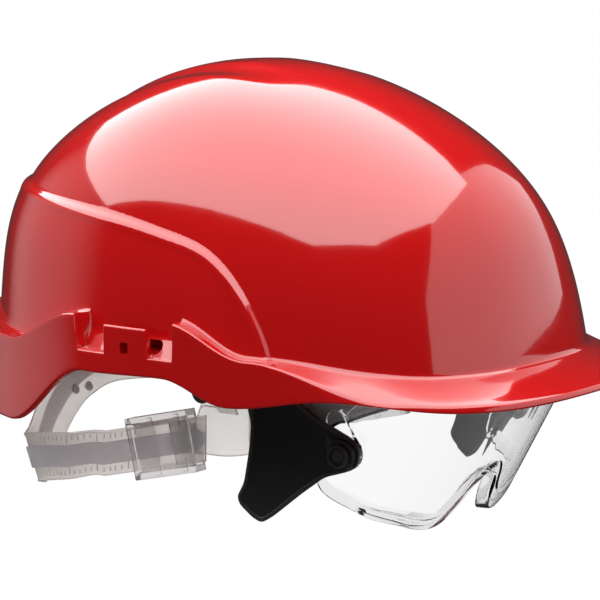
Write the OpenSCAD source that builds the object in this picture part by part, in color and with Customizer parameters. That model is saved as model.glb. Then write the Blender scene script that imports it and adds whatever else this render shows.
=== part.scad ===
// Industrial hard hat with swing-up eye protection.
// One red shell, a six-point webbing cradle, a headband with a sliding nape
// strap, and a wrap-around lens carried on two black arms.
// Front is -Y, up is +Z. The origin is the centre of the headband opening.

/* [Shell] */
// Half width of the dome where it meets the ledge
dome_half_w = 98; // [92:0.5:104]
// Length of the dome in front of the origin
dome_front = 117.5; // [110:0.5:124]
// Length of the dome behind the origin
dome_rear = 124.5; // [118:0.5:132]
// Height of the dome above the origin
dome_h = 118.9; // [112:0.5:124]
// Wall thickness of the shell
wall = 2.6; // [2.2:0.1:3]
// Overhang of the peak beyond the dome
peak_w = 22.5; // [16:0.5:30]
// Width of the ledge around the sides and back
ledge_w = 9; // [8:0.25:11]
// Height of the raised collar around the back
collar_h = 1.8; // [0.8:0.1:2.5]
// Depth of the grooves beside the ridge of the crown
groove_h = 1.6; // [0:0.1:2.5]

/* [Accessory slots] */
// Length of the slot behind the tab
slot_l = 27; // [25:0.5:30]
// Gap between the tab and the dome
slot_w = 4.6; // [4.2:0.1:5]
// Width of the tab
tab_w = 19.5; // [16:0.5:21]

/* [Eyewear] */
// Thickness of the lens
lens_t = 2.2; // [2:0.1:2.6]
// Width of the moulded flange along the lower edge of the lens
flange_w = 6; // [4:0.5:8]
// Thickness of the arms
arm_t = 2.6; // [2.2:0.1:3]
// Radius of the swing pins
swing_pin_r = 3; // [2.5:0.1:3.5]
// Radius of the lens pins
lens_pin_r = 2.2; // [2:0.1:2.6]
// Clearance of a running pin in its hole
fit = 0.06; // [0.04:0.01:0.1]
// Clearance of the left lens pin in the lens
free_fit = 0.35; // [0.3:0.05:0.5]

/* [Harness] */
// Half width of the headband
band_half_w = 73; // [70:0.5:75]
// Thickness of the headband
band_t = 1.4; // [1.2:0.1:2]
// Thickness of the sweatband pad
pad_t = 4; // [3:0.5:5]
// Width of the cradle webbing
webbing_w = 19; // [15:1:22]
// Thickness of the cradle webbing
webbing_t = 1.2; // [1:0.1:1.4]
// Height of the cradle under the crown
cradle_top = 86; // [82:1:88]
// Width of the nape strap
nape_w = 18; // [16:0.5:20]
// Thickness of the nape strap
nape_t = 1; // [0.9:0.1:1.4]

/* [Hidden] */
$fn = 64;

// Columns and rows of the shell's surface
shell_cols = 96;
dome_rows = 15;
// Shape of the dome's plan: exponent at the base and at the crown
plan_n = [2.25, 2];
// Shift of the crown towards the back
crown_y = 15.5;
// Profiles as parts of the plan radius and of the height: r1, z1, r2, z2, r3
front_curve = [0.916, 0.595, 1.024, 0.5, 0.661];
side_curve = [0.98, 0.42, 0.88, 0.86, 0.48];
rear_curve = [0.937, 0.8, 0.748, 0.5, 0.612];
// Heights around the shell: degrees from the front, millimetres
rim_low = [[0, 2], [29, 0], [50, 3], [70, -1.5], [85, 7], [105, 6], [129, -19.5], [180, -23]];
ledge_out = [[0, 4.4], [30, 2.9], [40, 3.3], [66, 16.3], [83, 28.4], [107, 27.4], [130, 13], [180, 17]];
ledge_in = [[0, 11], [28, 10], [66, 16.3], [83, 28.4], [107, 27.4], [130, 13], [180, 17]];
collar_top = [[60, 8], [66, 36], [76, 55.5], [104, 64], [180, 70]];
overhang = [[0, peak_w], [18, peak_w], [62, ledge_w], [180, ledge_w]];

// Notch for an accessory: side of the head, height of its floor, height of its tab
notch_y = [-14, 31.5];
notch_floor = [14.3, 20.5];
notch_deg = [80.6, 108.5];
tab_y = 7.2;
tab_top = 25;
tab_t = 3.4;
dome_face = 98.7;
skirt_face = 106.4;
// Catch hole in the tab
catch_size = [3.6, 4.6];
catch_z = 16.6;

// Swing pivot, lens pivot and grip of the arms, seen from the side as [y, z]
hub = [-28, 6];
eye = [-65.1, -21.5];
eye_x = 67.9;
toe_in = 15;
hub_x = eye_x + (hub[0] - eye[0]) * tan(toe_in);
hub_r = 8;
boss_t = 5.6;
washer_t = 0.6;
gap = 0.3;
// Lens: stations from the nose to the wing as [x, y, bottom z, top z]
lens_st = [
    [0, -98, -36, 1.5], [5, -97.9, -37.5, 1.5], [9, -97.6, -42, 1.5], [13, -97.2, -49, 1.5],
    [18, -96.6, -54.5, 1.5], [24, -95.4, -56.2, 1.5], [32, -93.3, -55, 1.5], [40, -90.6, -52.5, 1.5],
    [48, -87, -50, 1.5], [53.8, -83.4, -48, 1.5], [57, -80, -46, 1.5], [59.8, -75, -43.5, 1.5],
    [62.2, -69, -41, 1.2], [63.8, -63, -38, 0.2], [64.6, -58.5, -34, -3], [64.9, -56, -28, -8],
];
lens_lean = 0.54;
pad_r = 6.2;
pad_up = [4.5, 12];
tab_in = 60.2;

// Clips: direction and height of each pair
clip_q = [62, 92, 148];
clip_z = [40, 40, 36];
clip_pad = [20, 6, 14];
clip_w = 23;
ply = webbing_t + 1;

// Slope and reach of the sliding nape strap
slide_slope = 13.5;
nape_end = -8;
nape_z = -41;
nape_mid_y = 40;
nape_reach = [71, 78.5];
// Heights of the strap's edges round the back: degrees from its right side
nape_low = [[0, -41], [30, -49], [58, -57], [70, -60], [80, -43], [92, -32], [108, -24], [150, -30], [180, -41]];
nape_high = [[0, -23], [30, -29], [58, -36.5], [68, -36], [80, -19], [92, -9], [108, -2], [150, -9], [180, -23]];

function ease(t) = (1 - cos(180 * t)) / 2;
function clamp(t) = max(0, min(1, t));
function step_up(t) = ease(clamp(t));
function mix(p, q, t) = p + (q - p) * t;
// Smooth walk through a table of [degrees, value]
function track(t, a, i = 0) =
    a <= t[0][0] ? t[0][1] :
    i + 1 >= len(t) ? t[i][1] :
    a > t[i + 1][0] ? track(t, a, i + 1) :
    mix(t[i][1], t[i + 1][1], ease((a - t[i][0]) / (t[i + 1][0] - t[i][0])));
// Value at the front, side or back, blended by direction
function around(q, f, s, r) =
    let(c = cos(q), w = c * c)
    c >= 0 ? mix(s, f, w) : mix(s, r, w);
function plan_r(q, n, inset) =
    let(b = (cos(q) >= 0 ? dome_front : dome_rear) - inset, a = dome_half_w - inset)
    1 / pow(pow(abs(sin(q)) / a, n) + pow(abs(cos(q)) / b, n), 1 / n);
// Radius and height of the dome in direction q, u from 0 at the base to 1
function dome_rz(q, u, inset) =
    let(
        n = mix(plan_n[0], plan_n[1], step_up(u * 1.1)),
        c = [for (i = [0:4]) around(q, front_curve[i], side_curve[i], rear_curve[i])],
        b1 = 4 * u * pow(1 - u, 3),
        b2 = 6 * u * u * pow(1 - u, 2),
        b3 = 4 * pow(u, 3) * (1 - u)
    )
    [
        plan_r(q, n, inset) * (pow(1 - u, 4) + b1 * c[0] + b2 * c[2] + b3 * c[4]),
        (dome_h - inset) * (b1 * c[1] + b2 * c[3] + b3 + pow(u, 4)),
    ];
function u_at(q, z, inset, lo = 0, hi = 1, k = 0) =
    k > 16 ? lo :
    dome_rz(q, (lo + hi) / 2, inset)[1] < z
        ? u_at(q, z, inset, (lo + hi) / 2, hi, k + 1)
        : u_at(q, z, inset, lo, (lo + hi) / 2, k + 1);
function crown_shift(z) = crown_y * step_up(z / dome_h);
function at(q, r, z) = [r * sin(q), crown_shift(z) - r * cos(q), z];
// How far the collar stands out of the dome
function collar(q, z) =
    let(
        a = abs(q),
        slope = (track(collar_top, a + 1) - track(collar_top, a - 1)) / 3.5,
        d = (track(collar_top, a) - z) / sqrt(1 + slope * slope)
    )
    collar_h * step_up(d / 2.5 + 0.5) * step_up((a - 59) / 4);
function groove(x, y) = groove_h * step_up(1 - abs(abs(x) - 25) / 13) * step_up((y + 20) / 40);
function dome_pt(q, u, inset) =
    let(
        rz = dome_rz(q, u, inset),
        p = at(q, rz[0] + (inset > 0 ? 0 : collar(q, rz[1])), rz[1]),
        top = step_up((rz[1] - 60) / 35)
    )
    [p[0], p[1], p[2] - groove(p[0], p[1]) * top];
function skirt_r(q) = plan_r(q, plan_n[0], 0) + track(overhang, abs(q)) - 1;
function low_z(q) = track(rim_low, abs(q));
function out_z(q) = track(ledge_out, abs(q));
function in_z(q) = track(ledge_in, abs(q));

// One meridian of the shell: outside from the crown down, inside back up
function meridian(q) =
    let(
        u0 = u_at(q, in_z(q), 0),
        notch = abs(q) > notch_deg[0] && abs(q) < notch_deg[1],
        u1 = u_at(q, notch ? notch_floor[0] + wall : in_z(q) - wall, wall),
        rs = skirt_r(q),
        zo = out_z(q),
        zl = low_z(q),
        zi = notch ? notch_floor[0] - wall : max(zo - wall, zl + 0.3),
        fold = min(2, (zo - zl) * 0.4),
        foot = dome_rz(q, u0, 0)[0]
    )
    concat(
        [for (i = [1:dome_rows]) dome_pt(q, 1 - (1 - u0) * pow(i / dome_rows, 1), 0)],
        [
            at(q, foot + 1.6, in_z(q) - 0.4),
            at(q, rs - 1.2, zo + 0.3),
            at(q, rs, zo - 0.8),
            at(q, rs + 0.5, zo - fold),
            at(q, rs + 1, zl + 0.8),
            at(q, rs + 0.3, zl),
            at(q, rs - wall + 0.6, zl),
            at(q, rs - wall, zl + 0.2),
            at(q, rs - wall, zi),
        ],
        [for (i = [dome_rows:-1:1]) dome_pt(q, 1 - (1 - u1) * pow(i / dome_rows, 1), wall)]
    );

// Closed skin over sections that each have the same number of points
module skin(sections) {
    n = len(sections);
    m = len(sections[0]);
    polyhedron(
        points = [for (s = sections) each s],
        faces = concat(
            [for (i = [0:n - 2], j = [0:m - 1])
                [i * m + j, (i + 1) * m + j, i * m + (j + 1) % m]],
            [for (i = [0:n - 2], j = [0:m - 1])
                [i * m + (j + 1) % m, (i + 1) * m + j, (i + 1) * m + (j + 1) % m]],
            [[for (j = [0:m - 1]) j]],
            [[for (j = [m - 1:-1:0]) (n - 1) * m + j]]
        )
    );
}

// Ribbon along a path of [x, y, low z, high z, lean], from off to off + t on the
// right of the path; lean moves its upper edge to the same side
function heading(path, i) =
    let(p = path[max(0, i - 1)], q = path[min(len(path) - 1, i + 1)])
    atan2(q[1] - p[1], q[0] - p[0]);
module ribbon(path, t, off = 0) {
    skin([for (i = [0:len(path) - 1])
        let(p = path[i], h = heading(path, i), n = [sin(h), -cos(h), 0])
        [
            [p[0], p[1], p[2]] + n * off,
            [p[0], p[1], p[3]] + n * (p[4] + off),
            [p[0], p[1], p[3]] + n * (p[4] + off + t),
            [p[0], p[1], p[2]] + n * (off + t),
        ]]);
}
// Cylinder along X from x0 to x1 around the axis p = [y, z]
module rod_x(x0, x1, r, p) {
    translate([min(x0, x1), p[0], p[1]])
        rotate([0, 90, 0])
            cylinder(r = r, h = abs(x1 - x0));
}
module both_sides() {
    children();
    mirror([1, 0, 0])
        children();
}

/* ---- Shell ---- */
module shell_skin() {
    cols = [for (i = [0:shell_cols - 1]) meridian(-180 + 360 * i / shell_cols)];
    m = len(cols[0]);
    n = shell_cols;
    polyhedron(
        points = concat(
            [for (c = cols) each c],
            [dome_pt(0, 1, 0), dome_pt(0, 1, wall)]
        ),
        faces = concat(
            [for (i = [0:n - 1]) [n * m, ((i + 1) % n) * m, i * m]],
            [for (i = [0:n - 1]) [n * m + 1, i * m + m - 1, ((i + 1) % n) * m + m - 1]],
            [for (i = [0:n - 1], j = [0:m - 2]) [i * m + j, ((i + 1) % n) * m + j, i * m + j + 1]],
            [for (i = [0:n - 1], j = [0:m - 2])
                [i * m + j + 1, ((i + 1) % n) * m + j, ((i + 1) % n) * m + j + 1]]
        )
    );
}
module notch_cut() {
    difference() {
        translate([0, notch_y[1], 0])
            rotate([90, 0, 0])
                linear_extrude(notch_y[1] - notch_y[0])
                    polygon([
                        [-dome_face, notch_floor[1]],
                        [-dome_face - 5.5, notch_floor[0]],
                        [-dome_face - 20, notch_floor[0]],
                        [-dome_face - 20, 45],
                        [-dome_face, 45],
                    ]);
        translate([-skirt_face - 2, tab_y - tab_w / 2, 0])
            cube([tab_t + 2, tab_w, tab_top]);
    }
}
module slot_cut() {
    hull()
        for (s = [-1, 1])
            translate([-dome_face - slot_w / 2, tab_y + s * (slot_l - slot_w) / 2, 5])
                cylinder(d = slot_w, h = 40);
    translate([-dome_face - 12, tab_y - catch_size[0] / 2, catch_z - catch_size[1] / 2])
        cube([12, catch_size[0], catch_size[1]]);
}
function wall_r(q, z) = dome_rz(q, u_at(q, z, wall), wall)[0];
// Frame on the inner wall in direction q at height z: +Y points inwards
module on_wall(q, z) {
    rz = dome_rz(q, u_at(q, z, wall), wall);
    n = atan2(sin(q) / pow(dome_half_w, 2), cos(q) / pow(cos(q) > 0 ? dome_front : dome_rear, 2));
    tilt = atan2(wall_r(q, z - 6) - wall_r(q, z + 6), 12);
    translate(at(q, rz[0], z))
        rotate([-tilt, 0, n])
            children();
}
module clip_socket() {
    difference() {
        translate([-clip_pad[0] / 2, -0.6, -clip_pad[2] / 2])
            cube([clip_pad[0], clip_pad[1] + 0.6, clip_pad[2]]);
        translate([-6.2, 2.2, -clip_pad[2]])
            cube([12.4, 2.2, 2 * clip_pad[2]]);
    }
}
rivet_spots = [[-94, -36, 15.5], [-95.5, -17, 25]];
module rivet_boss(p) {
    difference() {
        translate([p[0], p[1], 10])
            cylinder(r = 3.6, h = p[2] - 10);
        translate([p[0], p[1], 9])
            cylinder(r = 1.5 + fit, h = 5.5);
    }
}
module shell() {
    color("firebrick")
    union() {
        difference() {
            shell_skin();
            both_sides()
                notch_cut();
            both_sides()
                slot_cut();
        }
        for (i = [0:2], s = [-1, 1])
            on_wall(s * clip_q[i], clip_z[i])
                clip_socket();
        both_sides()
            for (p = rivet_spots)
                rivet_boss(p);
    }
}

/* ---- Cradle and headband ---- */
module anchor_clip() {
    foot = clip_pad[2] / 2 + 3;
    difference() {
        union() {
            translate([-clip_w / 2, clip_pad[1] + gap / 2, -foot])
                cube([clip_w, 2.6, foot + 16]);
            translate([-6, 2.3, -foot])
                cube([12, clip_pad[1], 2.4]);
            translate([-6, 2.3, -foot])
                cube([12, 2, foot + 5]);
        }
        translate([-webbing_w / 2 - 0.6, 0, 10])
            cube([webbing_w + 1.2, 12, 2.8]);
    }
}
module clips(i) {
    color("ghostwhite")
        for (s = [-1, 1])
            on_wall(s * clip_q[i], clip_z[i])
                anchor_clip();
}
// Point on the cradle in direction q, v from 0 at the clip to 1 at the crown
function cradle_pt(q, z0, top, v) =
    let(r0 = wall_r(q, z0 + 14) - clip_pad[1] - 5, a = 90 * v)
    [r0 * cos(a) * sin(q), crown_shift(z0) - r0 * cos(a) * cos(q), z0 + 11 + (top - z0 - 11) * sin(a)];
// Webbing from clip to clip over the crown, flat side towards the head
module webbing(qa, za, qb, zb, top) {
    m = 9;
    side = [for (i = [0:m]) cradle_pt(qa, za, top, i / m * 0.985)];
    rest = [for (i = [m:-1:0]) cradle_pt(qb, zb, top, i / m * 0.985)];
    path = concat(side, rest);
    run = path[len(path) - 1] - path[0];
    wide = cross([0, 0, 1], run / norm(run)) * webbing_w / 2;
    skin([for (i = [0:len(path) - 1])
        let(
            d = path[min(len(path) - 1, i + 1)] - path[max(0, i - 1)],
            up = cross(d, wide),
            n = up / norm(up) * webbing_t
        )
        [path[i] - wide, path[i] - wide - n, path[i] + wide - n, path[i] + wide]]);
}
module cradle_front_right() {
    color("gainsboro")
        webbing(-clip_q[0], clip_z[0], clip_q[2], clip_z[2], cradle_top);
}
module cradle_front_left() {
    color("gainsboro")
        webbing(clip_q[0], clip_z[0], -clip_q[2], clip_z[2], cradle_top + ply);
}
module cradle_cross() {
    color("gainsboro")
        webbing(-clip_q[1], clip_z[1], clip_q[1], clip_z[1], cradle_top + 2 * ply);
}
module crown_patch() {
    color("whitesmoke")
        translate([0, crown_shift(clip_z[1]) - 1, cradle_top + 3 * ply - 0.6])
            cylinder(r = 17, h = 1.2);
}
// Plan of the headband at t from the right end over the brow to the left end
band_front = 91;
band_n = 2.2;
band_end = 10;
function band_xy(a, off) =
    let(w = band_half_w + off, f = band_front + off)
    a < 0 ? [-w, -a] : a > 180 ? [w, a - 180] :
    let(r = 1 / pow(pow(abs(cos(a)) / w, band_n) + pow(abs(sin(a)) / f, band_n), 1 / band_n))
    [-r * cos(a), -r * sin(a)];
function band_low(y) = mix(-1, -27, step_up((y + 92) / 80));
function band_high(y) = band_low(y) + mix(30, 20.5, step_up((y + 92) / 80)) - 9 * step_up((y + 6) / 5);
band_steps = [-band_end, -4, 0, for (i = [1:35]) i * 5, 180, 184, 180 + band_end];
module headband() {
    color("ivory") {
        ribbon([for (a = band_steps)
            let(p = band_xy(a, 0)) [p[0], p[1], band_low(p[1]), band_high(p[1]), 0]], band_t);
        for (i = [0, 1], s = [-1, 1])
            hanger(s, i);
    }
}
// Tab from the top of the headband up to a clip
hanger_a = [44, 13];
hanger_w = [12, 9];
module hanger(s, i) {
    q = clip_q[i];
    z = clip_z[i] - clip_pad[2] / 2 - 3;
    top = at(s * q, wall_r(q, z) - clip_pad[1] - 5.4, z + 2);
    p = band_xy(hanger_a[i], band_t / 2);
    low = [s * abs(p[0]), p[1], band_high(p[1]) - 4];
    mid = [mix(low[0], top[0], 0.35), mix(low[1], top[1], 0.35), mix(low[2], top[2], 0.55)];
    side = cross([0, 0, 1], [top[0], top[1], 0]);
    w = side / norm(side) * hanger_w[i] / 2;
    n = [top[0], top[1], 0] / norm([top[0], top[1]]) * 0.7;
    skin([for (p = [low, mid, top]) [p - w - n, p - w + n, p + w + n, p + w - n]]);
}
module sweatband() {
    color("dimgray")
        ribbon([for (a = [34:4:146])
            let(p = band_xy(a, -gap - pad_t)) [p[0], p[1], band_low(p[1]) - 1.5, band_high(p[1]) + 1.5, 0]], pad_t);
}

/* ---- Sliding nape strap ---- */
nape_x = band_half_w + band_t + 0.4;
function nape_xy(a, reach) = [-nape_x * cos(a), nape_mid_y + reach * sin(a)];
function nape_pt(side, y) =
    let(z = nape_z + (nape_mid_y - y) * tan(slide_slope)) [side * nape_x, y, z, z + nape_w, 0];
nape_path = [
    for (y = [nape_end, 10, 25]) nape_pt(1, y),
    for (a = [180:-5:0])
        let(p = nape_xy(a, nape_reach[0]), t = nape_xy(a, nape_reach[1]))
        [p[0], p[1], track(nape_low, a), track(nape_high, a), t[1] - p[1]],
    for (y = [25, 10, nape_end]) nape_pt(-1, y),
];
module nape_strap() {
    color("ivory")
        difference() {
            ribbon(nape_path, nape_t);
            stud_set(0.05);
        }
}

// Stiffener that runs along the middle of the strap and ends in a pointed tip
tongue_w = 8.8;
tongue_t = 0.6;
module nape_tongue() {
    last = len(nape_path) - 1;
    color("lightslategray")
        ribbon([for (i = [0:last])
            let(
                p = nape_path[i],
                w = tongue_w * (i == 0 || i == last ? 0.45 : 1),
                m = (p[2] + p[3]) / 2,
                k = p[4] / (p[3] - p[2]),
                h = heading(nape_path, i),
                d = (m - w / 2 - p[2]) * k
            )
            [p[0] + sin(h) * d, p[1] - cos(h) * d, m - w / 2, m + w / 2, w * k]],
            tongue_t, nape_t + 0.25);
}
// Studs in the high part of the strap at the back
stud_spots = [[-1, 113.4], [7.5, 113.1]];
stud_lean = 18;
module stud_set(extra) {
    for (p = stud_spots)
        translate([p[0], p[1], -25.5])
            rotate([-90 - stud_lean, 0, 0]) {
                translate([0, 0, -0.9])
                    cylinder(r = 2.1, h = 0.8);
                translate([0, 0, -0.5])
                    cylinder(r = 1.2 + extra, h = 1.6);
            }
}
module nape_studs() {
    color("gainsboro")
        stud_set(0);
}
// Clear buckle that joins the strap to the headband
slider_y = [-3, 27];
slider_wall = 1.1;
module slider(s) {
    inner = band_half_w - 0.3;
    outer = nape_x + nape_t + tongue_t + 0.6;
    len = slider_y[1] - slider_y[0];
    h = nape_w + 1.4;
    mirror([s > 0 ? 1 : 0, 0, 0])
        translate([0, slider_y[0], nape_z + (nape_mid_y - slider_y[0]) * tan(slide_slope) + nape_w / 2])
            rotate([-slide_slope, 0, 0])
                difference() {
                    union() {
                        translate([-outer - slider_wall, 0, -h / 2 - 2.4])
                            cube([outer - inner + 2 * slider_wall, len, h + 4.8]);
                        for (e = [-1, 1], y = [len * 0.12, len * 0.55])
                            translate([-outer - slider_wall - 0.7, y, e * (h / 2 - 1) - 2.5])
                                cube([1, 2.2, 5]);
                    }
                    translate([-outer, -1, -h / 2])
                        cube([outer - inner, len + 2, h]);
                    translate([-outer - 6, len * 0.3, -h / 2 + 1.6])
                        cube([7, len * 0.62, h - 3.2]);
                    translate([-inner - 1, len * 0.3, -h / 2 + 1.6])
                        cube([7, len * 0.4, h - 3.2]);
                }
}

/* ---- Eyewear carrier ---- */
bracket_x = hub_x + boss_t / 2 + 0.9;
module bracket_side() {
    difference() {
        union() {
            rod_x(-bracket_x, -bracket_x - 3.4, 9.5, hub);
            translate([-bracket_x - 3.4, hub[0] - 12, 2])
                cube([3.4, 32, 7.8]);
            hull()
                for (p = [[hub[0] + 4, 4], [-12.6, -0.6], [-10.4, 4]])
                    rod_x(-bracket_x - 0.6, -bracket_x - 3.4, 4.4, p);
            translate([-98.6, hub[0] - 12, 6.6])
                cube([98.6 - bracket_x - 1, 32, 3.2]);
        }
        for (p = rivet_spots)
            translate([p[0], p[1], 0])
                cylinder(r = 1.5 + fit, h = 12);
        rod_x(-bracket_x + 1, -bracket_x - 5, swing_pin_r - 0.4, hub);
    }
}
module bracket_rivets() {
    color("silver")
        both_sides()
            for (p = rivet_spots)
                translate([p[0], p[1], 5.2]) {
                    cylinder(r = 3.2, h = 1.3);
                    cylinder(r = 1.5, h = 8.6);
                }
}
// Shouldered pin: snaps into the bracket and holds the arm with its head
module swing_pin() {
    rod_x(-bracket_x - 3.2, -bracket_x, swing_pin_r - 0.4, hub);
    rod_x(-bracket_x, -bracket_x + boss_t + 0.9 + 0.3, swing_pin_r, hub);
    rod_x(-bracket_x + boss_t + 0.9 + 0.2, -bracket_x + boss_t + 2, 4.6, hub);
}
module spring_washers() {
    color("silver")
        both_sides()
            difference() {
                rod_x(-bracket_x + 0.05, -bracket_x + 0.05 + washer_t, 6, hub);
                rod_x(-bracket_x - 1, -bracket_x + 2, swing_pin_r + 0.3, hub);
            }
}
// Outline of an arm's plate as [y, z]
arm_outline = [
    [-72.2, -20.8], [-71.5, -24.8], [-69.2, -26.8], [-65.2, -28.2], [-59, -30.1], [-50.2, -37.1],
    [-38.8, -47.1], [-34.9, -49.6], [-31.2, -47.6], [-26.4, -43], [-25.4, -40], [-28, -34.6],
    [-29.9, -21.8], [-30.6, -11.7], [-29, -5], [-21, 1], [-22, 12], [-32, 13], [-48.8, -2.6],
    [-57.2, -8.5], [-61.1, -10.6], [-69.1, -14.9], [-71.8, -17.6],
];
arm_in = eye_x - 2;
arm_out = eye_x + 1.9;
module arm_side() {
    difference() {
        union() {
            translate([-eye_x, eye[0], 0])
                rotate([0, 0, toe_in])
                    rotate([90, 0, 90])
                        linear_extrude(arm_t, center = true)
                            offset(r = 2.4)
                                offset(delta = -2.4)
                                    scale([1 / cos(toe_in), 1])
                                        translate([-eye[0], 0])
                                            polygon(arm_outline);
            rod_x(-hub_x - boss_t / 2, -hub_x + boss_t / 2, hub_r, hub);
            rod_x(-arm_out, -arm_in, 6.4, eye);
        }
        rod_x(-hub_x - 9, -hub_x + 9, swing_pin_r + fit, hub);
        rod_x(-eye_x - 9, -eye_x + 9, lens_pin_r + fit, eye);
        rod_x(-arm_out, -arm_out - 9, 5, eye);
        rod_x(-arm_in, -arm_in + 9, 10, eye);
    }
}
// Sheet of the lens at a station: section from the outside bottom round to the inside
function lens_shift(z) = (eye[1] - z) * lens_lean;
lens_sides = concat(
    [for (i = [len(lens_st) - 1:-1:1]) [-lens_st[i][0], lens_st[i][1], lens_st[i][2], lens_st[i][3]]],
    lens_st
);
function lens_flange(x) = flange_w * step_up((62 - abs(x)) / 8);
module lens_sheet() {
    skin([for (i = [0:len(lens_sides) - 1])
        let(
            p = lens_sides[i],
            h = heading(lens_sides, i),
            n = [-sin(h), cos(h)],
            f = max(lens_t, lens_flange(p[0])),
            lo = p[1] + lens_shift(p[2]),
            hi = p[1] + lens_shift(p[3]),
            top = lens_t + 1.6,
            mid = p[1] + lens_shift(p[2] + top)
        )
        [
            [p[0], lo, p[2]],
            [p[0] + n[0] * f, lo + n[1] * f, p[2]],
            [p[0] + n[0] * f, lo + n[1] * f, p[2] + lens_t - 0.2],
            [p[0] + n[0] * lens_t, mid + n[1] * lens_t, p[2] + top],
            [p[0] + n[0] * lens_t, hi + n[1] * lens_t, p[3]],
            [p[0], hi, p[3]],
        ]]);
}
module lens() {
    color("aliceblue")
        difference() {
            union() {
                lens_sheet();
                both_sides()
                    hull() {
                        rod_x(-arm_in + gap, -62, pad_r, eye);
                        rod_x(-arm_in + gap, -63.4, 4.5, eye + pad_up);
                    }
                both_sides()
                    rod_x(-62.6, -tab_in, 5.4, eye);
            }
            rod_x(-eye_x, -50, lens_pin_r + fit, eye);
            rod_x(50, eye_x, lens_pin_r + free_fit, eye);
            both_sides()
                rod_x(-tab_in, -50, 4.6, eye);
        }
}
// Lens pin: round cap outside the arm, rivet head inside the lens
module lens_pin() {
    rod_x(-arm_out - 1.5, -arm_out - 0.05, 4.6, eye);
    rod_x(-arm_out - 0.5, -tab_in + gap, lens_pin_r, eye);
    rod_x(-tab_in + gap, -tab_in + 1.6, 4, eye);
}
module bracket_right() { color("black") bracket_side(); }
module bracket_left() { color("black") mirror([1, 0, 0]) bracket_side(); }
module arm_right() { color("black") arm_side(); }
module arm_left() { color("black") mirror([1, 0, 0]) arm_side(); }
module swing_pin_right() { color("dimgray") swing_pin(); }
module swing_pin_left() { color("dimgray") mirror([1, 0, 0]) swing_pin(); }
module lens_pin_right() { color("black") lens_pin(); }
module lens_pin_left() { color("black") mirror([1, 0, 0]) lens_pin(); }
module clips_front() { clips(0); }
module clips_side() { clips(1); }
module clips_rear() { clips(2); }
module slider_right() { color("lightcyan") slider(-1); }
module slider_left() { color("lightcyan") slider(1); }

shell();
clips_front();
clips_side();
clips_rear();
cradle_front_right();
cradle_front_left();
cradle_cross();
crown_patch();
headband();
sweatband();
slider_right();
slider_left();
nape_strap();
nape_tongue();
nape_studs();
bracket_right();
bracket_left();
bracket_rivets();
swing_pin_right();
swing_pin_left();
spring_washers();
arm_right();
arm_left();
lens();
lens_pin_right();
lens_pin_left();
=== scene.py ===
import math

import bmesh
import bpy
import numpy as np
from mathutils import Matrix, Vector


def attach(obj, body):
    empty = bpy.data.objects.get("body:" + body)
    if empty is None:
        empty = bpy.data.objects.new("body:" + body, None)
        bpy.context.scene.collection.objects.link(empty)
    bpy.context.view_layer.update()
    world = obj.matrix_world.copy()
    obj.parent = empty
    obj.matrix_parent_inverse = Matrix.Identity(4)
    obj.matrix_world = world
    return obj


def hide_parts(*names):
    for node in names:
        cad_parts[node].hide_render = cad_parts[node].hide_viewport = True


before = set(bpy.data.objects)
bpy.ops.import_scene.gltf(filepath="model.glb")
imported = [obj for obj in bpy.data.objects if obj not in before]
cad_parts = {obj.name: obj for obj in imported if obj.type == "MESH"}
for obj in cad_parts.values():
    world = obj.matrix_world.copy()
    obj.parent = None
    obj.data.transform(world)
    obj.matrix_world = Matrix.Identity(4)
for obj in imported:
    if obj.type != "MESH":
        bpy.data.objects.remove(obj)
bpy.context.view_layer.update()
scene = bpy.context.scene
MM = 0.001


# ---------------------------------------------------------------- meshes
def mesh_object(name, verts, faces, material, body, slot, replaces=(), uv=None, angle=None):
    """A new piece from vertices in millimetres, smooth shaded, riding on a body."""
    mesh = bpy.data.meshes.new(name)
    mesh.from_pydata([tuple(v) for v in np.asarray(verts, float) * MM], [], [tuple(f) for f in faces])
    mesh.validate()
    if uv is not None:
        layer = mesh.uv_layers.new(name="UVMap")
        index = np.empty(len(mesh.loops), np.int32)
        mesh.loops.foreach_get("vertex_index", index)
        layer.data.foreach_set("uv", (np.asarray(uv, float)[index] * MM).ravel())
    obj = bpy.data.objects.new(name, mesh)
    scene.collection.objects.link(obj)
    return finish_piece(obj, material, body, replaces, angle)


def finish_piece(obj, material, body, replaces=(), angle=None):
    if material is not None:
        obj.data.materials.clear()
        obj.data.materials.append(material)
    for p in obj.data.polygons:
        p.use_smooth = True
    if angle is not None:
        obj.data.set_sharp_from_angle(angle=math.radians(angle))
    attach(obj, body)
    if replaces:
        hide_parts(*replaces)
    return obj


def grid(rows, closed_u=False, closed_v=False, cap=False, flip=False):
    """Vertices and quads of an (n, m, 3) array of points."""
    n, m = rows.shape[:2]
    i, j = np.meshgrid(
        np.arange(n if closed_u else n - 1), np.arange(m if closed_v else m - 1), indexing="ij"
    )
    i, j = i.ravel(), j.ravel()
    i1, j1 = (i + 1) % n, (j + 1) % m
    faces = np.stack([i * m + j, i1 * m + j, i1 * m + j1, i * m + j1], -1)
    if flip:
        faces = faces[:, ::-1]
    faces = faces.tolist()
    if cap:
        ends = [list(range(m)), [(n - 1) * m + k for k in range(m)][::-1]]
        faces += [e[::-1] for e in ends] if flip else ends
    return rows.reshape(-1, 3), faces


def join(parts):
    """One list of vertices and faces from several."""
    verts, faces, base = [], [], 0
    for v, f in parts:
        verts.append(np.asarray(v, float))
        faces += [[k + base for k in face] for face in f]
        base += len(v)
    return np.concatenate(verts), faces


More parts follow.
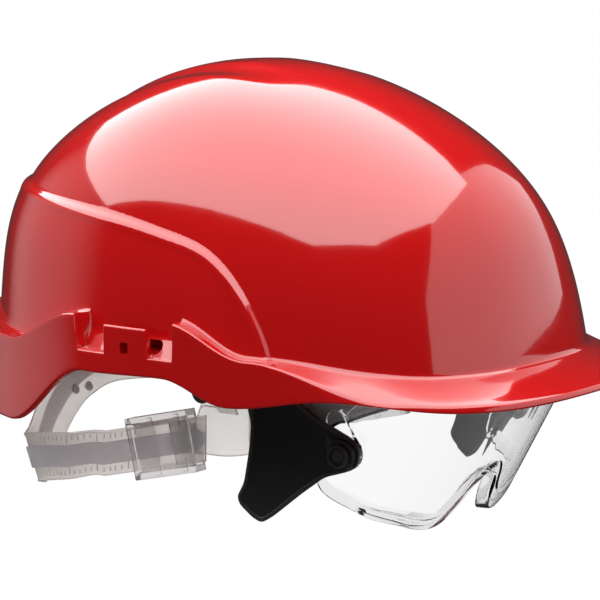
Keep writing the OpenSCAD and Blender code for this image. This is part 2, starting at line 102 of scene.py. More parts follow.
def rounded(points, radii, steps=5, closed=False):
    """Polyline of control points, each (..., 2), with its corners rounded."""
    count = len(points)
    out = []
    for k in range(count):
        if not closed and k in (0, count - 1):
            out.append(points[k])
            continue
        before, here, after = points[k - 1], points[k], points[(k + 1) % count]
        a, b = before - here, after - here
        la = np.linalg.norm(a, axis=-1, keepdims=True) + 1e-9
        lb = np.linalg.norm(b, axis=-1, keepdims=True) + 1e-9
        r = np.broadcast_to(np.asarray(radii[k], float), here.shape[:-1])[..., None]
        t = np.minimum(r, 0.47 * np.minimum(la, lb))
        start, end = here + a / la * t, here + b / lb * t
        for s in np.linspace(0, 1, steps):
            out.append((1 - s) ** 2 * start + 2 * s * (1 - s) * here + s * s * end)
    return np.stack(out, -2)


def box_solid(size, centre=(0, 0, 0), bevel=0.4, turn=None):
    """Box with bevelled edges as vertices and faces."""
    bm = bmesh.new()
    bmesh.ops.create_cube(bm, size=1)
    bmesh.ops.scale(bm, vec=size, verts=bm.verts)
    bmesh.ops.bevel(bm, geom=bm.edges[:], offset=bevel, segments=3, profile=0.5, affect="EDGES")
    matrix = Matrix.Translation(centre)
    if turn is not None:
        matrix = turn @ matrix
    bmesh.ops.transform(bm, matrix=matrix, verts=bm.verts)
    verts = [tuple(v.co) for v in bm.verts]
    faces = [[v.index for v in f.verts] for f in bm.faces]
    bm.free()
    return verts, faces


def set_along(point, x, y, z):
    """Matrix that puts a box's own axes along x, y, z at a point."""
    rows = [list(way) + [0] for way in (x, y, z)] + [[0, 0, 0, 1]]
    return Matrix.Translation(Vector(point)) @ Matrix(rows).transposed()


def inward_of(loop):
    """Unit vectors into a counter-clockwise loop of (y, z) points, halfway between its two edges."""
    ahead, behind = np.roll(loop, -1, 0) - loop, loop - np.roll(loop, 1, 0)
    n1 = np.stack([-ahead[:, 1], ahead[:, 0]], -1)
    n2 = np.stack([-behind[:, 1], behind[:, 0]], -1)
    return unit(unit(n1) + unit(n2))


def turned(profile, axis_point, steps=72):
    """Solid of revolution about X: profile is (x, radius) pairs from axis to axis."""
    x, r = np.array(profile, float).T
    t = np.linspace(0, 2 * math.pi, steps, endpoint=False)
    rows = np.stack(
        [
            np.broadcast_to(x, (steps, len(x))),
            axis_point[0] + np.outer(np.cos(t), r),
            axis_point[1] + np.outer(np.sin(t), r),
        ],
        -1,
    )
    return grid(rows, closed_u=True, flip=True)


def refine(node, material, body, width=0.35, segments=3, angle=25):
    """A CAD node's own shape with its edges rounded."""
    bm = bmesh.new()
    bm.from_mesh(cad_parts[node].data)
    bmesh.ops.remove_doubles(bm, verts=bm.verts, dist=1e-6)
    bmesh.ops.dissolve_limit(
        bm, angle_limit=math.radians(1.0), verts=bm.verts, edges=bm.edges, use_dissolve_boundaries=False
    )
    sharp = [e for e in bm.edges if len(e.link_faces) == 2 and e.calc_face_angle(0) > math.radians(angle)]
    bmesh.ops.bevel(
        bm, geom=sharp, offset=width * MM, offset_type="OFFSET", segments=segments,
        profile=0.5, affect="EDGES", clamp_overlap=True,
    )
    mesh = bpy.data.meshes.new(node + "_form")
    bm.to_mesh(mesh)
    bm.free()
    obj = bpy.data.objects.new(node + "_form", mesh)
    scene.collection.objects.link(obj)
    return finish_piece(obj, material, body, (node,), angle=40)


# ---------------------------------------------------------------- materials
class Nodes:
    """Short way to write a material's node tree."""

    def __init__(self, name, **settings):
        self.material = bpy.data.materials.new(name)
        self.material.use_nodes = True
        self.tree = self.material.node_tree
        self.shader = self.tree.nodes["Principled BSDF"]
        for key, value in settings.items():
            self.shader.inputs[key.replace("_", " ")].default_value = value

    def add(self, kind, **settings):
        node = self.tree.nodes.new(kind)
        for key, value in settings.items():
            if hasattr(node, key):
                setattr(node, key, value)
            else:
                node.inputs[key.replace("_", " ")].default_value = value
        return node

    def link(self, a, b):
        self.tree.links.new(a, b)

    def feed(self, socket, source):
        self.link(source, self.shader.inputs[socket])

    def coords(self, scale=(1, 1, 1), kind="Object"):
        source = self.add("ShaderNodeTexCoord")
        mapping = self.add("ShaderNodeMapping")
        mapping.inputs["Scale"].default_value = scale
        self.link(source.outputs[kind], mapping.inputs["Vector"])
        return mapping.outputs["Vector"]

    def noise(self, scale, detail=3.0, rough=0.5, vector=None, stretch=(1, 1, 1)):
        node = self.add("ShaderNodeTexNoise", Scale=scale, Detail=detail, Roughness=rough)
        self.link(vector or self.coords(stretch), node.inputs["Vector"])
        return node.outputs["Fac"]

    def ramp(self, source, stops):
        node = self.add("ShaderNodeValToRGB")
        elements = node.color_ramp.elements
        while len(elements) < len(stops):
            elements.new(0.5)
        for e, (at, colour) in zip(elements, stops):
            e.position = at
            e.color = tuple(colour) + (1,) if len(colour) == 3 else tuple(colour)
        self.link(source, node.inputs["Fac"])
        return node.outputs["Color"]

    def range(self, source, low, high, start=0.0, end=1.0):
        node = self.add("ShaderNodeMapRange")
        for key, value in zip(("From Min", "From Max", "To Min", "To Max"), (start, end, low, high)):
            node.inputs[key].default_value = value
        self.link(source, node.inputs["Value"])
        return node.outputs["Result"]

    def math(self, operation, a, b=None, c=None):
        node = self.add("ShaderNodeMath", operation=operation)
        for socket, value in zip(node.inputs, (a, b, c)):
            if value is None:
                continue
            if isinstance(value, (int, float)):
                socket.default_value = value
            else:
                self.link(value, socket)
        return node.outputs[0]

    def bump(self, height, strength, distance, before=None):
        node = self.add("ShaderNodeBump", Strength=strength, Distance=distance)
        self.link(height, node.inputs["Height"])
        if before is not None:
            self.link(before, node.inputs["Normal"])
        return node.outputs["Normal"]

    def wear(self, low=0.5, high=0.56):
        """Bright where the surface is convex, for rubbed edges."""
        node = self.add("ShaderNodeNewGeometry")
        return self.range(node.outputs["Pointiness"], 0, 1, low, high)


def red_shell():
    n = Nodes("red_shell", Roughness=0.1, IOR=1.5, Coat_Weight=1.0, Coat_Roughness=0.015, Coat_IOR=1.5)
    drift = n.noise(9, 2)
    n.feed("Base Color", n.ramp(drift, [(0.3, (0.54, 0.0045, 0.005)), (0.7, (0.59, 0.0055, 0.006))]))
    haze = n.noise(60, 4, 0.6)
    n.feed("Roughness", n.range(haze, 0.07, 0.14))
    orange_peel = n.noise(190, 2, 0.4)
    scratches = n.noise(420, 6, 0.7, stretch=(1, 0.06, 0.5))
    normal = n.bump(orange_peel, 0.012, 0.001)
    n.feed("Normal", n.bump(scratches, 0.006, 0.0004, normal))
    n.feed("Coat Normal", normal)
    return n.material


def black_nylon(name="black_nylon", rough=(0.38, 0.5), level=0.016):
    n = Nodes(name, IOR=1.5)
    tone = n.noise(35, 3)
    edge = n.wear(0.505, 0.54)
    mix = n.add("ShaderNodeMix", data_type="RGBA")
    n.link(edge, mix.inputs["Factor"])
    n.link(
        n.ramp(tone, [(0.3, (level * 0.75,) * 3), (0.7, (level * 1.2, level * 1.25, level * 1.2))]),
        mix.inputs["A"],
    )
    mix.inputs["B"].default_value = (0.05, 0.05, 0.052, 1)
    n.feed("Base Color", mix.outputs["Result"])
    n.feed("Roughness", n.range(n.noise(120, 3), *rough))
    grain = n.noise(1500, 3, 0.6)
    n.feed("Normal", n.bump(grain, 0.25, 0.0002, n.bump(n.noise(90, 2), 0.05, 0.001)))
    return n.material


def milky(name, colour=(0.72, 0.69, 0.66), rough=0.34, depth=0.25, through=0.1):
    n = Nodes(
        name, Roughness=rough, IOR=1.48, Subsurface_Weight=depth, Subsurface_Scale=0.004,
        Transmission_Weight=through,
    )
    n.shader.inputs["Subsurface Radius"].default_value = (1.0, 0.9, 0.85)
    tone = n.noise(26, 4, 0.6)
    dark = tuple(c * 0.93 for c in colour)
    n.feed("Base Color", n.ramp(tone, [(0.3, dark), (0.7, colour)]))
    n.feed("Roughness", n.range(n.noise(240, 3), rough - 0.07, rough + 0.08))
    fine = n.noise(900, 2)
    n.feed("Normal", n.bump(fine, 0.12, 0.0002, n.bump(n.noise(60, 2), 0.06, 0.001)))
    return n.material


def clear(name, tint, rough=0.02, ior=1.5, transmission=1.0, ripple=0.03):
    n = Nodes(name, Base_Color=tint + (1,), IOR=ior, Transmission_Weight=transmission)
    smear = n.noise(45, 3, 0.55)
    n.feed("Roughness", n.range(smear, rough * 0.6, rough * 1.5 + 0.004))
    n.feed("Normal", n.bump(n.noise(70, 2), ripple, 0.0006))
    return n.material


def webbing_cloth():
    """Plain weave across (u) and along (v) the strap, from its own coordinates."""
    n = Nodes("webbing", Roughness=0.8, IOR=1.45, Sheen_Weight=0.3, Sheen_Roughness=0.4)
    split = n.add("ShaderNodeSeparateXYZ")
    n.link(n.coords(kind="UV"), split.inputs[0])
    u, v = split.outputs[0], split.outputs[1]
    across = n.math("SINE", n.math("MULTIPLY", u, 2 * math.pi / 0.0016))
    along = n.math("SINE", n.math("MULTIPLY", v, 2 * math.pi / 0.0022))
    weave = n.math("MULTIPLY", across, along)
    ribs = n.math("ABSOLUTE", n.math("SINE", n.math("MULTIPLY", u, math.pi / 0.0016)))
    height = n.math("MULTIPLY_ADD", weave, 0.35, ribs)
    shade = n.math("MULTIPLY_ADD", height, 0.32, n.noise(300, 4, 0.6))
    n.feed("Base Color", n.ramp(shade, [(0.35, (0.4, 0.4, 0.39)), (0.95, (0.66, 0.66, 0.64))]))
    n.feed("Normal", n.bump(height, 0.7, 0.0004, n.bump(n.noise(1800, 2), 0.3, 0.0001)))
    return n.material


def pad_cloth():
    n = Nodes("pad_cloth", Roughness=0.9, IOR=1.4, Sheen_Weight=0.35, Sheen_Roughness=0.5)
    split = n.add("ShaderNodeSeparateXYZ")
    n.link(n.coords(kind="UV"), split.inputs[0])
    pitch = math.pi / 0.0009
    weave = n.math(
        "MULTIPLY",
        n.math("SINE", n.math("MULTIPLY", split.outputs[0], pitch)),
        n.math("SINE", n.math("MULTIPLY", split.outputs[1], pitch)),
    )
    shade = n.math("MULTIPLY_ADD", weave, 0.3, n.noise(140, 4, 0.6))
    n.feed("Base Color", n.ramp(shade, [(0.2, (0.012,) * 3), (0.8, (0.04, 0.04, 0.043))]))
    n.feed("Normal", n.bump(weave, 0.6, 0.0003, n.bump(n.noise(55, 3), 0.5, 0.002)))
    return n.material


def steel(name="steel", colour=(0.55, 0.55, 0.54)):
    n = Nodes(name, Metallic=1.0)
    n.feed("Base Color", n.ramp(n.noise(70, 4), [(0.3, tuple(c * 0.85 for c in colour)), (0.7, colour)]))
    brushed = n.noise(500, 5, 0.7, stretch=(0.05, 1, 1))
    n.feed("Roughness", n.range(brushed, 0.24, 0.42))
    n.feed("Normal", n.bump(brushed, 0.12, 0.0002))
    return n.material


def stitch_thread():
    n = Nodes("thread", Roughness=0.7, Sheen_Weight=0.3)
    n.feed("Base Color", n.ramp(n.noise(900, 3), [(0.3, (0.5, 0.5, 0.49)), (0.7, (0.7, 0.7, 0.68))]))
    n.feed("Normal", n.bump(n.noise(2500, 2), 0.5, 0.0001))
    return n.material


RED = red_shell()
BLACK = black_nylon()
CAP_BLACK = black_nylon("cap_black", (0.25, 0.36), 0.012)
MILKY = milky("milky_band", (1.0, 0.975, 0.95), 0.36, 0.05, 0.86)
STRAP = milky("milky_strap", (0.87, 0.82, 0.79), 0.4, 0.08, 0.8)
WHITE = milky("white_moulding", (0.74, 0.74, 0.72), 0.36, 0.1)
GREY = milky("grey_tongue", (0.84, 0.81, 0.84), 0.42, 0.05, 0.68)
BUCKLE = clear("clear_buckle", (0.8, 0.775, 0.77), 0.2, 1.42, 0.88, 0.1)
LENS = clear("clear_lens", (0.972, 0.975, 0.98), 0.004, 1.5, 1.0, 0.008)
LENS_EDGE = clear("clear_lens_edge", (0.82, 0.825, 0.835), 0.08, 1.3, 1.0, 0.2)
WEB = webbing_cloth()
PAD = pad_cloth()
STEEL = steel()
THREAD = stitch_thread()


# ---------------------------------------------------------------- curves of the shell, in millimetres
HALF_W, FRONT, REAR, HEIGHT, WALL = 98.0, 117.5, 124.5, 118.9, 2.6
PLAN_N = (2.25, 2.0)
CROWN_Y = 15.5
FRONT_CURVE = (0.916, 0.595, 1.024, 0.5, 0.661)
SIDE_CURVE = (0.98, 0.42, 0.88, 0.86, 0.48)
REAR_CURVE = (0.937, 0.8, 0.748, 0.5, 0.612)
RIM_LOW = [(0, 2), (29, 0), (50, 3), (70, -1.5), (85, 7), (105, 6), (129, -19.5), (180, -23)]
LEDGE_OUT = [(0, 4.4), (30, 2.9), (40, 3.3), (66, 16.3), (83, 28.4), (107, 27.4), (130, 13), (180, 17)]
LEDGE_IN = [(0, 11), (28, 10), (66, 16.3), (83, 28.4), (107, 27.4), (130, 13), (180, 17)]
COLLAR_TOP = [
    (60, 4), (61.5, 15), (63.5, 27), (66.5, 38.5), (70.5, 48), (76, 54.7), (85, 58.8), (104, 63.8), (140, 68),
    (180, 70.5), (195, 70.5),
]
OVERHANG = [(0, 22.5), (18, 22.5), (62, 9), (180, 9)]
COLLAR_H, GROOVE_H = 1.8, 1.6
# Notch for an accessory, by direction, and the tab in it
NOTCH_Q = (82.1, 106.3)
TAB_Q = (88.15, 98.75)
FLOOR_IN, FLOOR_OUT, FLOOR_BREAK = 20.5, 14.3, 104.2
TAB_TOP, SLOT_OUT = 25.0, 103.1
# Blind hole in the tab, by direction, and its depth
CATCH_Q, CATCH_DEEP = (92.7, 94.7), 3.0
# Slot between tab and dome: centre, half distance of its round ends, half width
SLOT_X, SLOT_Y, SLOT_REACH, SLOT_R = 101.05, 7.2, 11.2, 2.2
SLOT_LOW, SLOT_HIGH = 4.0, 33.0
# Length of the collar's edge for each degree round the head
DEGREE_MM = 1.75


def ease(t):
    return (1 - np.cos(math.pi * np.clip(t, 0, 1))) / 2


def track(table, a):
    a = np.asarray(a, float)
    out = np.full(a.shape, float(table[0][1]))
    for (a0, v0), (a1, v1) in zip(table, table[1:]):
        inside = a > a0
        out = np.where(inside, v0 + (v1 - v0) * ease((a - a0) / (a1 - a0)), out)
    return out


def plan_r(q, n, inset):
    s, c = np.abs(np.sin(q)), np.cos(q)
    b = np.where(c >= 0, FRONT, REAR) - inset
    return 1 / ((s / (HALF_W - inset)) ** n + (np.abs(c) / b) ** n) ** (1 / n)


def dome_rz(q, u, inset):
    q, u = np.broadcast_arrays(np.asarray(q, float), np.asarray(u, float))
    w = np.cos(q) ** 2
    c = [s + (np.where(np.cos(q) >= 0, f, r) - s) * w for f, s, r in zip(FRONT_CURVE, SIDE_CURVE, REAR_CURVE)]
    n = PLAN_N[0] + (PLAN_N[1] - PLAN_N[0]) * ease(u * 1.1)
    b1, b2, b3 = 4 * u * (1 - u) ** 3, 6 * u * u * (1 - u) ** 2, 4 * u**3 * (1 - u)
    radius = plan_r(q, n, inset) * ((1 - u) ** 4 + b1 * c[0] + b2 * c[2] + b3 * c[4])
    return radius, (HEIGHT - inset) * (b1 * c[1] + b2 * c[3] + b3 + u**4)


def u_at(q, z, inset):
    q, z = np.broadcast_arrays(np.asarray(q, float), np.asarray(z, float))
    low, high = np.zeros(q.shape), np.ones(q.shape)
    for _ in range(26):
        mid = (low + high) / 2
        below = dome_rz(q, mid, inset)[1] < z
        low, high = np.where(below, mid, low), np.where(below, high, mid)
    return low


def at(q, r, z):
    return np.stack(
        np.broadcast_arrays(r * np.sin(q), CROWN_Y * ease(z / HEIGHT) - r * np.cos(q), z), -1
    )


def curve_through(points, steps=24):
    """Catmull-Rom curve through the points."""
    p = np.asarray(points, float)
    p = np.concatenate([[2 * p[0] - p[1]], p, [2 * p[-1] - p[-2]]])
    t = np.linspace(0, 1, steps, endpoint=False)[:, None]
    out = []
    for k in range(1, len(p) - 2):
        a, b, c, d = p[k - 1], p[k], p[k + 1], p[k + 2]
        square, cube = (2 * a - 5 * b + 4 * c - d) * t**2, (3 * b - a - 3 * c + d) * t**3
        out.append(0.5 * (2 * b + (c - a) * t + square + cube))
    return np.concatenate(out + [p[-2][None]])


# The collar's edge unrolled: length round the head, and height
EDGE = curve_through([(a * DEGREE_MM, z) for a, z in COLLAR_TOP], 16)
EDGE = np.concatenate([[[EDGE[0, 0] - 0.5, -30]], EDGE])


def collar(q, z):
    q, z = np.broadcast_arrays(np.asarray(q, float), np.asarray(z, float))
    a = np.degrees(np.abs(q))
    p = np.stack([a.ravel() * DEGREE_MM, z.ravel()], -1)
    best = np.full(len(p), 1e9)
    for s0, s1 in zip(EDGE, EDGE[1:]):
        run = s1 - s0
        t = np.clip(((p - s0) @ run) / (run @ run), 0, 1)
        best = np.minimum(best, np.linalg.norm(p - s0 - t[:, None] * run, axis=1))
    inside = (p[:, 1] < np.interp(p[:, 0], EDGE[:, 0], EDGE[:, 1])) & (p[:, 0] > EDGE[0, 0])
    d = np.where(inside, best, -best).reshape(a.shape)
    return COLLAR_H * ease(d / 2.4 + 0.5) + 0.3 * np.exp(-(((d - 2.4) / 1.6) ** 2))


def groove(x, y):
    return GROOVE_H * ease(1 - np.abs(np.abs(x) - 25) / 13) * ease((y + 20) / 40)


def dome_pt(q, u, inset):
    r, z = dome_rz(q, u, inset)
    p = at(q, r if inset else r + collar(q, z), z)
    p[..., 2] -= groove(p[..., 0], p[..., 1]) * ease((z - 60) / 35)
    return p


# ---------------------------------------------------------------- shell
def window(a, low, high, soft):
    """1 between low and high, falling to 0 over soft degrees outside them."""
    return ease((a - low) / soft + 1) * ease((high - a) / soft + 1)


def shell_columns():
    base = np.linspace(-180, 180, 601)[:-1]
    extra = []
    for edge in (NOTCH_Q[0] - 0.4, NOTCH_Q[1] + 0.4):
        extra.append(np.linspace(edge - 1.1, edge + 1.1, 23))
    for edge in (TAB_Q[0] - 0.15, TAB_Q[1] + 0.15):
        extra.append(np.linspace(edge - 0.5, edge + 0.5, 13))
    extra.append(np.arange(58.6, 70, 0.2))
    extra.append(np.array(CATCH_Q))
    extra = np.concatenate(extra)
    columns = np.unique(np.round(np.concatenate([base, extra, -extra]), 4))
    keep = [columns[0]]
    fixed = set(np.round(np.concatenate([extra, -extra]), 4))
    for c in columns[1:]:
        if c - keep[-1] < 0.05:
            if c in fixed:
                keep[-1] = c
            continue
        keep.append(c)
    return np.array(keep)


def shell_rows():
    """Directions of the columns, the shell's points by column and row, and the skirt's first row."""
    degrees = shell_columns()
    q = np.radians(degrees)
    a = np.abs(degrees)
    notch = window(a, NOTCH_Q[0], NOTCH_Q[1], 0.8)
    tab = window(a, TAB_Q[0], TAB_Q[1], 0.3)
    front = ease((62 - a) / 44)
    outer = plan_r(q, PLAN_N[0], 0) + track(OVERHANG, a) - 1
    z_in = track(LEDGE_IN, a) * (1 - notch) + FLOOR_IN * notch
    z_out = track(LEDGE_OUT, a) * (1 - notch) + FLOOR_OUT * notch
    z_low = track(RIM_LOW, a)
    start = dome_rz(q, u_at(q, z_in + 4, 0), 0)[0] + collar(q, z_in + 4)
    foot = dome_rz(q, u_at(q, z_in, 0), 0)[0] + collar(q, z_in)
    r_b = (foot + 0.62 * (outer - foot)) * (1 - notch) + (FLOOR_BREAK * (1 - tab) + SLOT_OUT * tab) * notch
    line = z_in + (z_out - z_in) * (r_b - foot) / (outer - foot)
    z_b = line * (1 - notch) + (FLOOR_OUT + 1.3 * tab) * notch
    z_c = z_b * (1 - tab) + (TAB_TOP - 0.2) * tab
    z_d = z_out * (1 - tab) + TAB_TOP * tab
    top = track(LEDGE_OUT, a)
    r_top = outer + (top - z_d) / (top - z_low)
    r_c = r_b + 0.8 * (1 - tab)
    z_c = z_c + (z_d - z_c) * 0.8 / np.maximum(outer - r_b, 2) * (1 - tab)
    under = np.maximum(z_out - WALL, z_low + 0.4)
    inner_z = (track(LEDGE_IN, a) - WALL) * (1 - notch) + (FLOOR_OUT + WALL) * notch
    inner_u = u_at(q, inner_z + 3, WALL)
    inner_r = dome_rz(q, u_at(q, inner_z, WALL), WALL)[0]
    inner_start = dome_rz(q, inner_u, WALL)[0]

    def pair(r, z):
        return np.stack(np.broadcast_arrays(r, z), -1)

    control = [
        pair(start, z_in + 4), pair(foot, z_in), pair(r_b, z_b), pair(r_c, z_c),
        pair(r_top, z_d), pair(outer + 1, z_low), pair(outer - WALL + 0.8, z_low),
        pair(outer - WALL, under), pair(inner_r, inner_z), pair(inner_start, inner_z + 3),
    ]
    radii = [0, 1.8 + 5 * front, 0.8, 0.8 - 0.3 * tab, 1.7 - 0.6 * notch, 1.1, 0.8, 1.6, 2.0, 0]
    corners = rounded(control, radii, 7)
    # first rows of the corners r_b and z_low, after one plain row and 7 rows a corner
    row_b, row_low = 1 + 7, 1 + 7 * 4
    # rows of the flat skirt between its top corner and the rim, with the catch hole's two edges
    top, bottom = corners[:, row_low - 1], corners[:, row_low]
    share = np.array([0.06, 0.12, 0.2, 0.3, 0.42, 0.55, 0.68, 0.8, 0.92])
    middle = top[:, None] + (bottom - top)[:, None] * share[None, :, None]
    # fine rows on the ledge or peak between foot and b
    near, far = corners[:, row_b - 1], corners[:, row_b]
    flat_share = np.array([0.2, 0.4, 0.6, 0.8])
    flat = near[:, None] + (far - near)[:, None] * flat_share[None, :, None]
    profile = np.concatenate(
        [corners[:, :row_b], flat, corners[:, row_b:row_low], middle, corners[:, row_low:]], 1
    )
    body = at(q[:, None], profile[..., 0], profile[..., 1])
    steps = np.linspace(1, 0, 211)[1:-1]
    u0 = u_at(q, z_in + 4, 0)
    outside = dome_pt(q[:, None], u0[:, None] + (1 - u0)[:, None] * steps[None], 0)
    back = np.linspace(0, 1, 72)[1:-1]
    inside = dome_pt(q[:, None], inner_u[:, None] + (1 - inner_u)[:, None] * back[None], WALL)
    skirt = outside.shape[1] + row_low + len(flat_share)
    return degrees, np.concatenate([outside, body, inside], 1), skirt


def shell_solid():
    degrees, rows, skirt = shell_rows()
    n, m = rows.shape[:2]
    top, inner_top = dome_pt(0, 1, 0), dome_pt(0, 1, WALL)
    verts = np.concatenate([rows.reshape(-1, 3), top[None], inner_top[None]])
    faces = []
    a = np.abs(degrees)
    catch_rows = (skirt + 3, skirt + 5)
    in_catch = (a >= CATCH_Q[0] - 1e-3) & (a <= CATCH_Q[1] + 1e-3)
    catch = [i for i in range(n) if in_catch[i] and in_catch[(i + 1) % n]]
    for i in range(n):
        i1 = (i + 1) % n
        faces.append([n * m, i1 * m, i * m])
        faces.append([n * m + 1, i * m + m - 1, i1 * m + m - 1])
        for j in range(m - 1):
            if i in catch and catch_rows[0] <= j < catch_rows[1]:
                continue
            faces.append([i * m + j, i1 * m + j, i1 * m + j + 1, i * m + j + 1])
    # blind catch hole: its back, then its walls
    new = []
    base = len(verts)
    lookup = {}

    def deep(i, j):
        if (i, j) not in lookup:
            p = rows[i, j].copy()
            p[0] -= math.copysign(CATCH_DEEP, p[0])
            lookup[(i, j)] = base + len(new)
            new.append(p)
        return lookup[(i, j)]

    for i in catch:
        i1 = i + 1
        for j in range(*catch_rows):
            faces.append([deep(i, j), deep(i1, j), deep(i1, j + 1), deep(i, j + 1)])
        for j, flip in ((catch_rows[0], False), (catch_rows[1], True)):
            quad = [i * m + j, i1 * m + j, deep(i1, j), deep(i, j)]
            faces.append(quad[::-1] if flip else quad)
        for c in (i, i1):
            if c in catch and c - 1 in catch:
                continue
            for j in range(*catch_rows):
                quad = [c * m + j, c * m + j + 1, deep(c, j + 1), deep(c, j)]
                faces.append(quad if c == i else quad[::-1])
    return np.concatenate([verts, np.array(new)]), faces


def slot_cutter(s):
    """Upright prism with round ends, through the slot on side s."""
    steps = 48
    bm = bmesh.new()
    ring = []
    for t in np.linspace(0, 2 * math.pi, steps, endpoint=False):
        x = SLOT_X + SLOT_R * math.cos(t)
        y = SLOT_Y + math.copysign(SLOT_REACH, math.sin(t) + 1e-9) + SLOT_R * math.sin(t)
        ring.append((s * x * MM, y * MM))
    low = [bm.verts.new((x, y, SLOT_LOW * MM)) for x, y in ring]
    high = [bm.verts.new((x, y, SLOT_HIGH * MM)) for x, y in ring]
    bm.faces.new(low[::-1])
    bm.faces.new(high)
    for k in range(steps):
        after = (k + 1) % steps
        bm.faces.new([low[k], low[after], high[after], high[k]])
    bmesh.ops.recalc_face_normals(bm, faces=bm.faces[:])
    mesh = bpy.data.meshes.new("slot_cutter")
    bm.to_mesh(mesh)
    bm.free()
    cutter = bpy.data.objects.new("slot_cutter", mesh)
    scene.collection.objects.link(cutter)
    return cutter


def build_shell():
    obj = mesh_object("shell_moulding", *shell_solid(), RED, "helmet", "shell", ("shell",), angle=50)
    for s in (-1, 1):
        boolean(obj, slot_cutter(s), "DIFFERENCE")
    obj.data.set_sharp_from_angle(angle=math.radians(40))


# ---------------------------------------------------------------- ribbons and straps
def smooth_path(points, count):
    """Even steps along a Catmull-Rom curve through the points."""
    out = curve_through(points)
    gaps = np.linalg.norm(np.diff(out[:, :3], axis=0), axis=1)
    s = np.concatenate([[0], np.cumsum(gaps)])
    steps = np.linspace(0, s[-1], count)
    return np.stack([np.interp(steps, s, out[:, k]) for k in range(out.shape[1])], 1), steps


def unit(v):
    return v / (np.linalg.norm(v, axis=-1, keepdims=True) + 1e-12)


def strap_solid(centre, across, normal, half, thick, edge):
    """Flat strap: centre line, unit vectors across and out of the strap, half width, thickness."""
    n = len(centre)
    half = np.broadcast_to(np.asarray(half, float), (n,))
    corners = [
        np.stack([-half, np.zeros(n)], -1), np.stack([-half, np.full(n, thick)], -1),
        np.stack([half, np.full(n, thick)], -1), np.stack([half, np.zeros(n)], -1),
    ]
    flat = []
    for k in range(4):
        flat.append(corners[k])
        if k in (1, 3):
            ends = corners[k], corners[(k + 1) % 4]
            for t in (0.06, 0.2, 0.35, 0.5, 0.65, 0.8, 0.94):
                flat.append(ends[0] + (ends[1] - ends[0]) * t)
    radii = [edge if k in (0, 1, 9, 10) else 0 for k in range(len(flat))]
    ring = rounded(flat, radii, 4, closed=True)
    u, h = ring[..., 0], ring[..., 1]
    rows = centre[:, None] + across[:, None] * u[..., None] + normal[:, None] * h[..., None]
    uv = np.stack([u, np.broadcast_to(length_of(centre)[:, None], u.shape)], -1).reshape(-1, 2)
    verts, faces = grid(rows, closed_v=True, cap=True)
    return verts, faces, uv


def length_of(centre):
    return np.concatenate([[0], np.cumsum(np.linalg.norm(np.diff(centre, axis=0), axis=1))])


def outward(verts, faces):
    """Faces turned so that the solid's volume is positive."""
    v = np.asarray(verts, float)
    total = 0.0
    for f in faces:
        a = v[f[0]]
        for k in range(1, len(f) - 1):
            total += np.dot(a, np.cross(v[f[k]], v[f[k + 1]]))
    return faces if total > 0 else [list(f)[::-1] for f in faces]


def wall_r(q, z):
    return float(dome_rz(q, u_at(q, z, WALL), WALL)[0])


CLIP_Q, CLIP_Z, CLIP_PAD = (62, 92, 148), (40, 40, 36), 6.0
WEB_W, WEB_T, CRADLE_TOP, PLY = 19.0, 1.2, 86.0, 2.2


def cradle_pt(q, z0, top, v):
    q = math.radians(q)
    r0 = wall_r(q, z0 + 14) - CLIP_PAD - 5
    a = math.pi / 2 * v
    shift = CROWN_Y * float(ease(np.array(z0 / HEIGHT)))
    return np.array([
        r0 * math.cos(a) * math.sin(q),
        shift - r0 * math.cos(a) * math.cos(q),
        z0 + 11 + (top - z0 - 11) * math.sin(a),
    ])


def cradle_strap(name, qa, za, qb, zb, top):
    shares = np.arange(10) / 9 * 0.985
    path = [cradle_pt(qa, za, top, v) for v in shares]
    path += [cradle_pt(qb, zb, top, v) for v in shares[::-1]]
    line, s = smooth_path(path, 170)
    run = unit(line[-1] - line[0])
    across = np.broadcast_to(np.cross([0, 0, 1], run), line.shape)
    across = unit(across)
    tangent = unit(np.gradient(line, axis=0))
    normal = -unit(np.cross(tangent, across))
    wander = 0.12 * np.sin(s / 23 + za)
    line = line + normal * wander[:, None] * np.sin(s / s[-1] * math.pi)[:, None]
    verts, faces, uv = strap_solid(line, across, normal, WEB_W / 2, WEB_T, edge=0.45)
    faces = outward(verts, faces)
    mesh_object(name + "_webbing", verts, faces, WEB, "helmet", "webbing", (name,), uv=uv, angle=60)
    # bar tacks near each end
    parts = []
    for k in (7, 10, 162, 159):
        for j in range(13):
            offset = (j - 6) * 1.25
            centre = line[k] + across[k] * offset
            turn = set_along(centre, across[k], tangent[k], normal[k])
            turn = turn @ Matrix.Rotation(0.5 if j % 2 else -0.5, 4, "Z")
            parts.append(box_solid((0.32, 1.9, WEB_T + 0.34), (0, 0, WEB_T / 2), 0.14, turn))
    verts, faces = join(parts)
    mesh_object(name + "_stitching", verts, faces, THREAD, "helmet", "webbing", angle=60)


# ---------------------------------------------------------------- lens and carrier, in millimetres
EYE, EYE_X, HUB, TOE_IN, LEAN = (-65.1, -21.5), 67.9, (-28.0, 6.0), 15.0, 0.54
LENS_T, FLANGE_W, LENS_COUNT = 2.2, 6.0, 260
ARM_IN, ARM_OUT, TAB_IN = EYE_X - 2, EYE_X + 1.9, 60.2
LENS_ST = [
    (0, -98, -36, 1.5), (5, -97.9, -37.5, 1.5), (9, -97.6, -42, 1.5), (13, -97.2, -49, 1.5),
    (18, -96.6, -54.5, 1.5), (24, -95.4, -56.2, 1.5), (32, -93.3, -55, 1.5), (40, -90.6, -52.5, 1.5),
    (48, -87, -50, 1.5), (53.8, -83.4, -48, 1.5), (57, -80, -46, 1.5), (59.8, -75, -43.5, 1.5),
    (62.2, -69, -41, 1.2), (63.8, -63, -38, 0.2), (64.6, -58.5, -34, -3), (64.9, -56, -28, -8),
]


